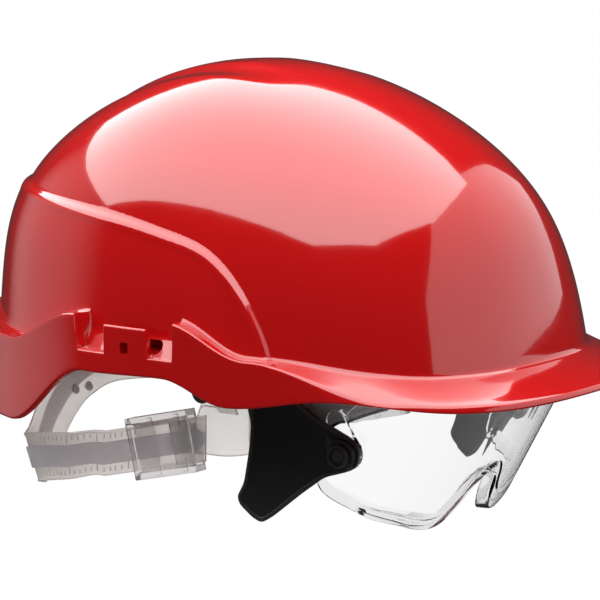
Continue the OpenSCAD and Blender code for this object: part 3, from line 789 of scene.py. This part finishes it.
def lens_solid():
    stations = [(-x, y, lo, hi) for x, y, lo, hi in LENS_ST[:0:-1]] + LENS_ST
    path, _ = smooth_path(stations, LENS_COUNT)
    x, y, low, high = path.T
    step = np.gradient(path[:, :2], axis=0)
    way = unit(np.stack([-step[:, 1], step[:, 0]], -1))
    flange = np.maximum(LENS_T, FLANGE_W * ease((62 - np.abs(x)) / 8))

    def point(depth, z, lean_z):
        return np.stack([x + way[:, 0] * depth, y + (EYE[1] - lean_z) * LEAN + way[:, 1] * depth, z], -1)

    top = low + LENS_T + 1.6
    control = [
        point(0, low, low), point(flange, low, low), point(flange, low + LENS_T - 0.2, low),
        point(LENS_T, top, top), point(LENS_T, high, high), point(0, high, high),
    ]
    ring = rounded(control, [0.9, 0.6, 0.7, 1.8, 0.6, 0.6], 6, closed=True)
    # rows up the two faces, so that the sheet shades evenly
    m = ring.shape[1]

    def between(a, b):
        return np.stack([ring[:, a] + (ring[:, b] - ring[:, a]) * t for t in np.linspace(0, 1, 10)[1:-1]], 1)

    rows = np.concatenate([ring[:, :24], between(23, 24), ring[:, 24:], between(m - 1, 0)], 1)
    rows[0] = rows[0].mean(0) + (rows[0] - rows[0].mean(0)) * 0.99
    rows[-1] = rows[-1].mean(0) + (rows[-1] - rows[-1].mean(0)) * 0.99
    verts, faces = grid(rows, closed_v=True, cap=True)
    return verts, outward(verts, faces)


def disc_hull(circles, x0, x1, edge=0.5, steps=40):
    """Prism along X whose outline is the hull of circles (y, z, radius), with rounded rims."""
    points = []
    for cy, cz, r in circles:
        for t in np.linspace(0, 2 * math.pi, steps, endpoint=False):
            points.append((cy + r * math.cos(t), cz + r * math.sin(t)))
    points = sorted(set((round(a, 5), round(b, 5)) for a, b in points))

    def half(seq):
        chain = []
        for p in seq:
            while len(chain) > 1 and (
                (chain[-1][0] - chain[-2][0]) * (p[1] - chain[-2][1])
                - (chain[-1][1] - chain[-2][1]) * (p[0] - chain[-2][0])
            ) <= 0:
                chain.pop()
            chain.append(p)
        return chain[:-1]

    loop = np.array(half(points) + half(points[::-1]))
    return prism(loop, x0, x1, edge)


def prism(loop, x0, x1, edge=0.5):
    """Prism along X over a loop of (y, z) points, counter-clockwise, with rounded rims."""
    loop = np.asarray(loop, float)
    inward = inward_of(loop)
    low, high = min(x0, x1), max(x0, x1)
    rows = []
    for t in np.linspace(0, 1, 4):
        a = t * math.pi / 2
        rows.append((low + edge * (1 - math.sin(a)), edge * (1 - math.cos(a))))
    rows = rows[::-1]
    other = [(high - (x - low), d) for x, d in rows][::-1]
    out = []
    for x, d in rows + other:
        p = loop + inward * d
        out.append(np.concatenate([np.full((len(p), 1), x), p], 1))
    verts, faces = grid(np.stack(out), closed_v=True, cap=True)
    return verts, outward(verts, faces)


def boolean(obj, cutter, operation):
    mod = obj.modifiers.new("cut", "BOOLEAN")
    mod.operation = operation
    mod.solver = "EXACT"
    mod.object = cutter
    bpy.context.view_layer.update()
    bpy.context.view_layer.objects.active = obj
    bpy.ops.object.modifier_apply(modifier=mod.name)
    mesh = cutter.data
    bpy.data.objects.remove(cutter)
    bpy.data.meshes.remove(mesh)
    for p in obj.data.polygons:
        p.use_smooth = True


def loose(verts, faces):
    mesh = bpy.data.meshes.new("tool")
    mesh.from_pydata([tuple(v) for v in np.asarray(verts, float) * MM], [], [tuple(f) for f in faces])
    obj = bpy.data.objects.new("tool", mesh)
    scene.collection.objects.link(obj)
    return obj


def build_lens():
    verts, faces = lens_solid()
    obj = mesh_object("lens_clear", verts, faces, LENS, "eye_shield", "lens", ("lens",))
    obj.data.materials.append(LENS_EDGE)
    band = len(verts) // LENS_COUNT
    for p, f in zip(obj.data.polygons, faces):
        if len(f) == 4 and min(k % band for k in f) < 21:
            p.material_index = 1
    for s in (-1, 1):
        tab = disc_hull(
            [(EYE[0], EYE[1], 6.2), (EYE[0] + 4.5, EYE[1] + 12, 4.5)], s * (ARM_IN - 0.3), s * 62.3, 0.6
        )
        boolean(obj, loose(*tab), "UNION")
        boss = disc_hull([(EYE[0], EYE[1], 5.4)], s * 63.0, s * TAB_IN, 0.4)
        boolean(obj, loose(*boss), "UNION")
        hole = disc_hull([(EYE[0], EYE[1], 2.35)], s * 55, s * 70, 0.01)
        boolean(obj, loose(*hole), "DIFFERENCE")
    obj.data.set_sharp_from_angle(angle=math.radians(42))


ARM_OUTLINE = [
    (-72.2, -20.8), (-71.5, -24.8), (-69.2, -26.8), (-65.2, -28.2), (-59, -30.1), (-50.2, -37.1),
    (-38.8, -47.1), (-34.9, -49.6), (-31.2, -47.6), (-26.4, -43), (-25.4, -40), (-28, -34.6),
    (-29.9, -21.8), (-30.6, -11.7), (-29, -5), (-21, 1), (-22, 12), (-32, 13), (-48.8, -2.6),
    (-57.2, -8.5), (-61.1, -10.6), (-69.1, -14.9), (-71.8, -17.6),
]


def build_arm(side, name, body):
    """Plate with a raised rim, toed in about the eye pivot; hub boss; eye disc."""
    loop = np.array(ARM_OUTLINE) - [EYE[0], 0]
    loop[:, 0] /= math.cos(math.radians(TOE_IN))
    loop = rounded(list(loop[:, None]), [2.2] * len(loop), 6, closed=True)[0]
    area = np.sum(loop[:, 0] * np.roll(loop[:, 1], -1) - loop[:, 1] * np.roll(loop[:, 0], -1))
    if area < 0:
        loop = loop[::-1]
    inward = inward_of(loop)
    half, sunk = 1.3, 0.35
    edge = [
        (half - sunk, 1.75), (half - 0.05, 1.4), (half, 1.25), (half, 0.45), (half - 0.13, 0.13),
        (half - 0.45, 0),
    ]
    steps = [(-x, d) for x, d in edge] + edge[::-1]
    angle = math.radians(TOE_IN)
    sections = []
    for x, d in steps:
        p = loop + inward * d
        lx, ly = np.full(len(p), x), p[:, 0]
        sections.append(np.stack([
            lx * math.cos(angle) - ly * math.sin(angle) - EYE_X,
            lx * math.sin(angle) + ly * math.cos(angle) + EYE[0],
            p[:, 1],
        ], -1))
    verts, faces = grid(np.stack(sections), closed_v=True, cap=True)
    verts = verts * [-side, 1, 1]
    faces = outward(verts, faces)
    plate = mesh_object(name + "_plate", verts, faces, BLACK, body, "carrier", (name,), angle=35)
    plate.data.set_sharp_from_angle(angle=math.radians(35))
    hub_x = EYE_X + (HUB[0] - EYE[0]) * math.tan(angle)
    boss = disc_hull([(HUB[0], HUB[1], 8)], side * (hub_x - 2.8), side * (hub_x + 2.8), 0.6, 72)
    boolean(plate, loose(*boss), "UNION")
    disc = disc_hull([(EYE[0], EYE[1], 6.4)], side * ARM_IN, side * ARM_OUT, 0.5, 72)
    boolean(plate, loose(*disc), "UNION")
    for (cy, cz), r in ((HUB, 3.06), (EYE, 2.26)):
        hole = disc_hull([(cy, cz, r)], side * 55, side * 95, 0.01, 48)
        boolean(plate, loose(*hole), "DIFFERENCE")
    slab = disc_hull([(EYE[0], EYE[1], 5.0)], side * ARM_OUT, side * (ARM_OUT + 9), 0.01, 60)
    boolean(plate, loose(*slab), "DIFFERENCE")
    slab = disc_hull([(EYE[0], EYE[1], 10.0)], side * (ARM_IN - 9), side * ARM_IN, 0.01, 60)
    boolean(plate, loose(*slab), "DIFFERENCE")
    plate.data.set_sharp_from_angle(angle=math.radians(35))


def build_lens_pin(side, name):
    """Cap with a raised ring and dished middle, stem, and rivet head."""
    out, head = ARM_OUT + 0.05, TAB_IN - 1.6
    profile = [
        (out + 0.95, 0.001), (out + 0.9, 1.6), (out + 0.85, 2.9), (out + 1.05, 3.3), (out + 1.4, 3.7),
        (out + 1.45, 3.95), (out + 1.3, 4.3), (out + 0.9, 4.55), (out + 0.3, 4.6), (out, 4.45), (out, 2.25),
        (out - 0.1, 2.2), (TAB_IN - 0.25, 2.2), (TAB_IN - 0.32, 2.3), (TAB_IN - 0.3, 3.8),
        (TAB_IN - 0.5, 4.0), (head + 0.5, 3.9), (head + 0.1, 3.3), (head, 2.0), (head, 0.001),
    ]
    verts, faces = turned(profile, EYE)
    verts = verts * [side, 1, 1]
    faces = outward(verts, faces)
    mesh_object(name + "_cap", verts, faces, CAP_BLACK, "eye_shield", "carrier", (name,), angle=50)


# ---------------------------------------------------------------- headband, pad and nape strap
BAND_W, BAND_FRONT, BAND_N, BAND_END, BAND_T, PAD_T = 73.0, 91.0, 2.2, 10.0, 1.4, 4.0
NAPE_X, NAPE_Z, NAPE_MID, NAPE_W, NAPE_T, SLOPE = 74.8, -41.0, 40.0, 18.0, 1.0, math.tan(math.radians(13.5))
NAPE_END, REACH = -8.0, (71.0, 78.5)
# Edges of the nape strap: degrees round the back from the wearer's right, low edge, high edge
NAPE_EDGES = [
    (180, -41, -23), (175, -40.2, -22), (170, -38.2, -19.3), (165, -35.5, -15.8), (150, -30.5, -9.5),
    (130, -26, -4), (108, -24.5, -2.5), (96, -28.5, -6.5),
    (88, -35, -12), (80, -44.5, -20), (73, -54.5, -29), (66, -59, -35.5), (58, -57, -36.5), (45, -53.3, -33),
    (30, -49, -29), (15, -45, -26), (5, -41.5, -23.4), (0, -41, -23),
]


def band_xy(a, off):
    w, f = BAND_W + off, BAND_FRONT + off
    t = np.radians(np.clip(a, 0, 180))
    r = 1 / ((np.abs(np.cos(t)) / w) ** BAND_N + (np.abs(np.sin(t)) / f) ** BAND_N) ** (1 / BAND_N)
    x, y = -r * np.cos(t), -r * np.sin(t)
    y = np.where(a < 0, -a, np.where(a > 180, a - 180, y))
    return x, y


def band_low(y):
    return -1 - 26 * ease((y + 92) / 80)


def band_high(y):
    return band_low(y) + 30 - 9.5 * ease((y + 92) / 80) - 9 * ease((y + 6) / 5)


def band_sheet(a, low, high, off, thick, rim=0.0, rim_w=1.4, edge=0.3):
    """Ribbon that follows the headband's plan, with a raised rim along both edges."""
    x, y = band_xy(a, 0)
    dx, dy = np.gradient(x), np.gradient(y)
    n = unit(np.stack([dy, -dx, np.zeros_like(dx)], -1))
    control = []
    full, flat = off + thick, off + thick - rim
    for z, d in (
        (low, off), (low, full), (low + rim_w, full), (low + rim_w + 0.5, flat),
        (high - rim_w - 0.5, flat), (high - rim_w, full), (high, full), (high, off),
    ):
        control.append(np.stack([x, y, z], -1) + n * d)
    ring = rounded(control, [edge, edge, 0.25, 0.25, 0.25, 0.25, edge, edge], 4, closed=True)
    verts, faces = grid(ring, closed_v=True, cap=True)
    return verts, outward(verts, faces)


def build_headband():
    right, left = np.linspace(-BAND_END, 0, 12), np.linspace(180, 180 + BAND_END, 12)
    a = np.concatenate([right, np.linspace(0, 180, 240)[1:], left[1:]])
    x, y = band_xy(a, 0)
    parts = [band_sheet(a, band_low(y), band_high(y), 0, BAND_T, rim=0.35)]
    # ribs across the temples, for grip of the sweatband's ends
    for side in (1, -1):
        for k in range(5):
            angle = 20.0 + k * 1.6
            px, py = band_xy(np.array([angle if side > 0 else 180 - angle]), BAND_T - 0.25)
            z = float(band_low(py)[0] + band_high(py)[0]) / 2
            turn = Matrix.Translation((float(px[0]), float(py[0]), z))
            parts.append(box_solid((0.7, 0.9, 11), (0, 0, 0), 0.2, turn))
    for i in (0, 1):
        for s in (-1, 1):
            parts.append(hanger(s, i))
    verts, faces = join(parts)
    mesh_object("headband_moulding", verts, faces, MILKY, "helmet", "band", ("headband",), angle=40)


HANGER_A, HANGER_W = (44.0, 13.0), (11.0, 9.0)


def hanger(s, i):
    q, z = math.radians(CLIP_Q[i]), CLIP_Z[i] - 7.0 - 3
    shift = CROWN_Y * float(ease(np.array((z + 2) / HEIGHT)))
    r = wall_r(q, z) - CLIP_PAD - 5.4
    top = np.array([s * r * math.sin(q), shift - r * math.cos(q), z + 2])
    px, py = band_xy(np.array([HANGER_A[i]]), BAND_T / 2)
    low = np.array([s * abs(float(px[0])), float(py[0]), float(band_high(py)[0]) - 4])
    mid = low + (top - low) * [0.35, 0.35, 0.55]
    t = np.linspace(0, 1, 28)
    line = np.stack([np.interp(t, (0, 0.5, 1), (low[k], mid[k], top[k])) for k in range(3)], -1)
    side = unit(np.cross([0, 0, 1], [top[0], top[1], 0]))
    across = np.broadcast_to(side, line.shape)
    out = unit(np.array([top[0], top[1], 0.0]))
    normal = np.broadcast_to(out, line.shape)
    half = HANGER_W[i] / 2 * (1 - 0.16 * np.sin(t * math.pi))
    line = line - out * (0.7 + 1.3 * np.sin(t * math.pi))[:, None]
    verts, faces, _ = strap_solid(line, across, normal, half, 1.1, edge=0.4)
    return verts, outward(verts, faces)


def build_sweatband():
    """Foam pad sewn in a cloth sleeve: full between cross seams, thin at its sewn border."""
    count, around_n = 300, 40
    a = np.linspace(34, 146, count)
    x, y = band_xy(a, 0)
    n = unit(np.stack([np.gradient(y), -np.gradient(x), np.zeros(count)], -1))
    low, high = band_low(y) - 1.5, band_high(y) + 1.5
    s = length_of(np.stack([x, y, np.zeros(count)], -1))
    total = s[-1]
    ends = ease(np.minimum(s, total - s) / 5)
    seams = 1 - 0.45 * sum(np.exp(-(((s - total * k / 6) / 1.1) ** 2)) for k in range(1, 6))
    v = np.linspace(0, 1, around_n)
    swell = np.clip(1 - np.abs(2 * v - 1) ** 5, 0, 1) ** 0.6
    fade = np.exp(-((v[None] - 0.5) ** 2) * 22) ** 0.2
    ripple = 0.16 * np.sin(s[:, None] * 0.9 + 2.2 * np.sin(v * 3)[None]) * fade
    ripple = ripple * (1 - np.abs(2 * v[None] - 1) ** 3)
    full = 0.9 + (PAD_T - 1.1) * swell[None] * seams[:, None] + 0.5 * ripple
    thick = full * (0.25 + 0.75 * ends[:, None])
    z = low[:, None] + (high - low)[:, None] * v[None]
    outer = np.stack([np.broadcast_to(x[:, None], z.shape), np.broadcast_to(y[:, None], z.shape), z], -1)
    outer = outer + n[:, None] * (-0.3)
    inner = outer - n[:, None] * thick[..., None]
    edge_fold = outer - n[:, None] * (thick * 0.5)[..., None]
    fold_top, fold_low = edge_fold[:, -1:] + [0, 0, 0.25], edge_fold[:, :1] - [0, 0, 0.25]
    rows = np.concatenate([outer, fold_top, inner[:, ::-1], fold_low], 1)
    up = z - low[:, None]
    u = np.concatenate([up, up[:, -1:], up[:, ::-1], up[:, :1]], 1)
    uv = np.stack([u, np.broadcast_to(s[:, None], u.shape)], -1).reshape(-1, 2)
    verts, faces = grid(rows, closed_v=True, cap=True)
    faces = outward(verts, faces)
    pad = mesh_object("sweatband_pad", verts, faces, PAD, "helmet", "pad", ("sweatband",), uv=uv)
    # running stitch along both borders
    parts = []
    for k in range(6, count - 6, 3):
        for share in (0.07, 0.93):
            j = int(share * (around_n - 1))
            p = inner[k, j] - n[k] * 0.02
            t = unit(inner[k + 1, j] - inner[k - 1, j])
            up = np.cross(n[k], t)
            parts.append(box_solid((1.6, 0.35, 0.35), (0, 0, 0), 0.12, set_along(p, t, up, n[k])))
    verts, faces = join(parts)
    mesh_object("sweatband_stitching", verts, faces, THREAD, "helmet", "pad", angle=60)


def nape_stations():
    def flat(side, y):
        z = NAPE_Z + (NAPE_MID - y) * SLOPE
        return (side * NAPE_X, y, z, z + NAPE_W, 0.0)

    out = [flat(1, y) for y in (NAPE_END, 3, 14, 25, 33, 39)]
    for a, low, high in NAPE_EDGES:
        t = math.radians(a)
        y0, y1 = (NAPE_MID + r * math.sin(t) for r in REACH)
        out.append((-NAPE_X * math.cos(t), y0, low, high, y1 - y0))
    return out + [flat(-1, y) for y in (39, 33, 25, 14, 3, NAPE_END)]


def nape_lines(count):
    path, s = smooth_path(nape_stations(), count)
    step = np.gradient(path[:, :2], axis=0)
    out = unit(np.stack([step[:, 1], -step[:, 0], np.zeros(count)], -1))
    return path, s, out


def nape_point(path, out, share, depth):
    """Point at a share of the strap's height, depth millimetres out of its inner face."""
    z = path[:, 2] + (path[:, 3] - path[:, 2]) * share
    return np.stack([path[:, 0], path[:, 1], z], -1) + out * (path[:, 4] * share + depth)[:, None]


def build_nape():
    count = 420
    path, s, out = nape_lines(count)
    total = s[-1]
    control = []
    for share, depth in ((0, 0), (0, NAPE_T), (0.045, NAPE_T), (0.075, NAPE_T - 0.25), (0.925, NAPE_T - 0.25),
                         (0.955, NAPE_T), (1, NAPE_T), (1, 0)):
        control.append(nape_point(path, out, share, depth))
    ring = rounded(control, [0.3, 0.3, 0.2, 0.2, 0.2, 0.2, 0.3, 0.3], 4, closed=True)
    verts, faces = grid(ring, closed_v=True, cap=True)
    faces = outward(verts, faces)
    mesh_object("nape_strap_moulding", verts, faces, STRAP, "nape", "band", ("nape_strap",), angle=40)
    # size marks along both edges, long and short
    parts = []
    marks = np.arange(34, total - 34, 3.2)
    for k, at_s in enumerate(marks):
        if 90 < at_s < total - 90:
            continue
        i = int(np.searchsorted(s, at_s))
        tangent = unit(np.append(path[i + 1, :2] - path[i - 1, :2], 0.0))
        low, high = nape_point(path, out, 0, 0)[i], nape_point(path, out, 1, 0)[i]
        up = unit(high - low)
        long = 3.0 if k % 5 == 0 else 1.7
        for share, sign in ((0.09, 1), (0.91, -1)):
            p = nape_point(path, out, share, NAPE_T - 0.22)[i] + up * sign * long / 2
            parts.append(box_solid((0.45, long, 0.3), (0, 0, 0), 0.1, set_along(p, tangent, up, out[i])))
    verts, faces = join(parts)
    mesh_object("nape_strap_marks", verts, faces, GREY, "nape", "band", angle=60)
    # stiffener with a pointed tip at each end
    width = 8.8 / np.maximum(path[:, 3] - path[:, 2], 1)
    tip = np.minimum(np.minimum(s, total - s) / 4.0, 1)
    half = width / 2 * (0.45 + 0.55 * tip)
    control = [
        nape_point(path, out, 0.5 - half, NAPE_T + 0.25), nape_point(path, out, 0.5 - half, NAPE_T + 0.85),
        nape_point(path, out, 0.5 + half, NAPE_T + 0.85), nape_point(path, out, 0.5 + half, NAPE_T + 0.25),
    ]
    ring = rounded(control, [0.22] * 4, 4, closed=True)
    verts, faces = grid(ring, closed_v=True, cap=True)
    faces = outward(verts, faces)
    mesh_object("nape_tongue_strip", verts, faces, GREY, "nape", "tongue", ("nape_tongue",), angle=50)


def build_patch():
    y = CROWN_Y * float(ease(np.array(CLIP_Z[1] / HEIGHT))) - 1
    z0 = CRADLE_TOP + 3 * PLY - 0.6
    profile = [
        (0, 0.001), (0, 16.6), (0.15, 16.9), (0.6, 17), (1.0, 16.9), (1.2, 16.5), (1.0, 15.6), (1.2, 14.7),
        (1.2, 0.001),
    ]
    t = np.linspace(0, 2 * math.pi, 96, endpoint=False)
    rows = np.stack([
        np.stack([r * np.cos(t), y + r * np.sin(t), np.full(96, z0 + h)], -1) for h, r in profile
    ])
    verts, faces = grid(rows, closed_v=True, cap=True)
    mesh_object(
        "crown_patch_disc", verts, outward(verts, faces), WEB, "helmet", "webbing", ("crown_patch",),
        uv=verts[:, :2], angle=50,
    )
    parts = []
    for k in range(44):
        a = 2 * math.pi * k / 44
        place = Matrix.Translation((15.6 * math.cos(a), y + 15.6 * math.sin(a), z0 + 1.05))
        parts.append(box_solid((0.4, 1.5, 0.35), (0, 0, 0), 0.14, place @ Matrix.Rotation(a, 4, "Z")))
    verts, faces = join(parts)
    mesh_object("crown_patch_stitching", verts, faces, THREAD, "helmet", "webbing", angle=60)


build_shell()
cradle_strap("cradle_front_right", -CLIP_Q[0], CLIP_Z[0], CLIP_Q[2], CLIP_Z[2], CRADLE_TOP)
cradle_strap("cradle_front_left", CLIP_Q[0], CLIP_Z[0], -CLIP_Q[2], CLIP_Z[2], CRADLE_TOP + PLY)
cradle_strap("cradle_cross", -CLIP_Q[1], CLIP_Z[1], CLIP_Q[1], CLIP_Z[1], CRADLE_TOP + 2 * PLY)
build_patch()
build_headband()
build_sweatband()
build_nape()
build_lens()
for side, tag in ((-1, "right"), (1, "left")):
    build_arm(side, "arm_" + tag, "carrier_" + tag)
    build_lens_pin(side, "lens_pin_" + tag)
    refine("bracket_" + tag, BLACK, "helmet", 0.5)
    refine("swing_pin_" + tag, CAP_BLACK, "helmet", 0.35)
    refine("slider_" + tag, BUCKLE, "helmet", 0.22, 2)
refine("bracket_rivets", STEEL, "helmet", 0.3)
refine("spring_washers", STEEL, "helmet", 0.15)
refine("nape_studs", WHITE, "nape", 0.2)
for place in ("front", "side", "rear"):
    refine("clips_" + place, WHITE, "helmet", 0.45)

# ---------------------------------------------------------------- stage, camera, light
centre = Vector((0, 0, 0.023))
azimuth, elevation, roll, distance = math.radians(-56), math.radians(8.7), math.radians(0.5), 1.275
back = Vector((
    math.sin(azimuth) * math.cos(elevation), -math.cos(azimuth) * math.cos(elevation), math.sin(elevation)
))
camera = bpy.data.objects.new("camera", bpy.data.cameras.new("camera"))
scene.collection.objects.link(camera)
camera.data.lens = 191.25
camera.data.sensor_width = 36
camera.location = centre + back * distance
camera.rotation_mode = "QUATERNION"
camera.rotation_quaternion = (-back).to_track_quat("-Z", "Y") @ Matrix.Rotation(roll, 3, "Z").to_quaternion()
scene.camera = camera
scene.view_settings.view_transform = "Standard"

floor_mesh = bpy.data.meshes.new("floor")
half = 30.0
corners = [(-half, -half, 0), (half, -half, 0), (half, half, 0), (-half, half, 0)]
floor_mesh.from_pydata(corners, [], [(0, 1, 2, 3)])
floor = bpy.data.objects.new("floor", floor_mesh)
floor.location.z = -0.4
scene.collection.objects.link(floor)
paper = Nodes(
    "paper", Base_Color=(0.01, 0.01, 0.01, 1), Roughness=1.0, Specular_IOR_Level=0.0,
    Emission_Color=(1, 1, 1, 1), Emission_Strength=1.0,
)
facing = paper.add("ShaderNodeNewGeometry")
through = paper.add("ShaderNodeBsdfTransparent")
either = paper.add("ShaderNodeMixShader")
paper.link(facing.outputs["Backfacing"], either.inputs[0])
paper.link(paper.shader.outputs[0], either.inputs[1])
paper.link(through.outputs[0], either.inputs[2])
paper.link(either.outputs[0], paper.tree.nodes["Material Output"].inputs["Surface"])
floor_mesh.materials.append(paper.material)
floor.visible_diffuse = False
floor.visible_glossy = False


def glow_panel(name, outline, strength):
    """Flat light with the given outline, seen in reflections and not by the camera."""
    mesh = bpy.data.meshes.new(name)
    mesh.from_pydata(outline, [], [list(range(len(outline)))])
    obj = bpy.data.objects.new(name, mesh)
    scene.collection.objects.link(obj)
    lit = Nodes(name, Base_Color=(0, 0, 0, 1), Emission_Color=(1, 1, 1, 1), Emission_Strength=strength)
    lit.shader.inputs["Specular IOR Level"].default_value = 0
    mesh.materials.append(lit.material)
    obj.visible_camera = False
    obj.visible_transmission = False
    return obj


overhead = [
    (-1.13, -0.45), (-0.6, -0.87), (0.2, -0.85), (0.97, -0.42), (0.88, 0.5), (0.88, 1.9), (-1.25, 1.95),
]
glow_panel("overhead", [(x, y, 1.0) for x, y in overhead], 3.4)
front_way, reach = math.radians(35), 3.0
front_panel = [
    (-1.28, 0.08), (-1.15, 0.62), (-0.33, 1.3), (0.12, 1.34), (0.68, 1.25), (1.54, 0.9), (1.88, 0.53),
    (1.19, 0.27), (0.87, 0.05),
]
glow_panel(
    "front_panel",
    [
        (
            reach * (math.sin(front_way) + u * math.cos(front_way)),
            reach * (-math.cos(front_way) + u * math.sin(front_way)),
            reach * v + 0.05,
        )
        for u, v in front_panel
    ],
    1.0,
)

bounce = bpy.data.lights.new("bounce", "AREA")
bounce.size = 1.6
bounce.energy = 3.5
bounce_card = bpy.data.objects.new("bounce", bounce)
bounce_card.location = (-0.3, -0.1, -0.38)
bounce_card.rotation_euler = (math.pi, 0, 0)
bounce_card.visible_camera = False
bounce_card.visible_glossy = False
bounce_card.visible_transmission = False
scene.collection.objects.link(bounce_card)

world = bpy.data.worlds.new("studio")
scene.world = world
world.use_nodes = True
tree = world.node_tree
tree.nodes.clear()
out = tree.nodes.new("ShaderNodeOutputWorld")
path = tree.nodes.new("ShaderNodeLightPath")
seen = tree.nodes.new("ShaderNodeMath")
seen.operation = "MAXIMUM"
tree.links.new(path.outputs["Is Camera Ray"], seen.inputs[0])
tree.links.new(path.outputs["Is Transmission Ray"], seen.inputs[1])
white = tree.nodes.new("ShaderNodeBackground")
white.inputs["Color"].default_value = (1, 1, 1, 1)
white.inputs["Strength"].default_value = 1.0
dim = tree.nodes.new("ShaderNodeBackground")
coord = tree.nodes.new("ShaderNodeTexCoord")
dot = tree.nodes.new("ShaderNodeVectorMath")
dot.operation = "DOT_PRODUCT"
dot.inputs[1].default_value = (-0.14, 0.985, 0.08)
tree.links.new(coord.outputs["Generated"], dot.inputs[0])
glow = tree.nodes.new("ShaderNodeMapRange")
glow.interpolation_type = "SMOOTHSTEP"
for key, value in zip(("From Min", "From Max", "To Min", "To Max"), (0.84, 0.975, 0.035, 0.46)):
    glow.inputs[key].default_value = value
tree.links.new(dot.outputs["Value"], glow.inputs["Value"])
dim.inputs["Color"].default_value = (1, 1, 1, 1)
tree.links.new(glow.outputs["Result"], dim.inputs["Strength"])
mix = tree.nodes.new("ShaderNodeMixShader")
tree.links.new(seen.outputs[0], mix.inputs[0])
tree.links.new(dim.outputs[0], mix.inputs[1])
tree.links.new(white.outputs[0], mix.inputs[2])
tree.links.new(mix.outputs[0], out.inputs["Surface"])
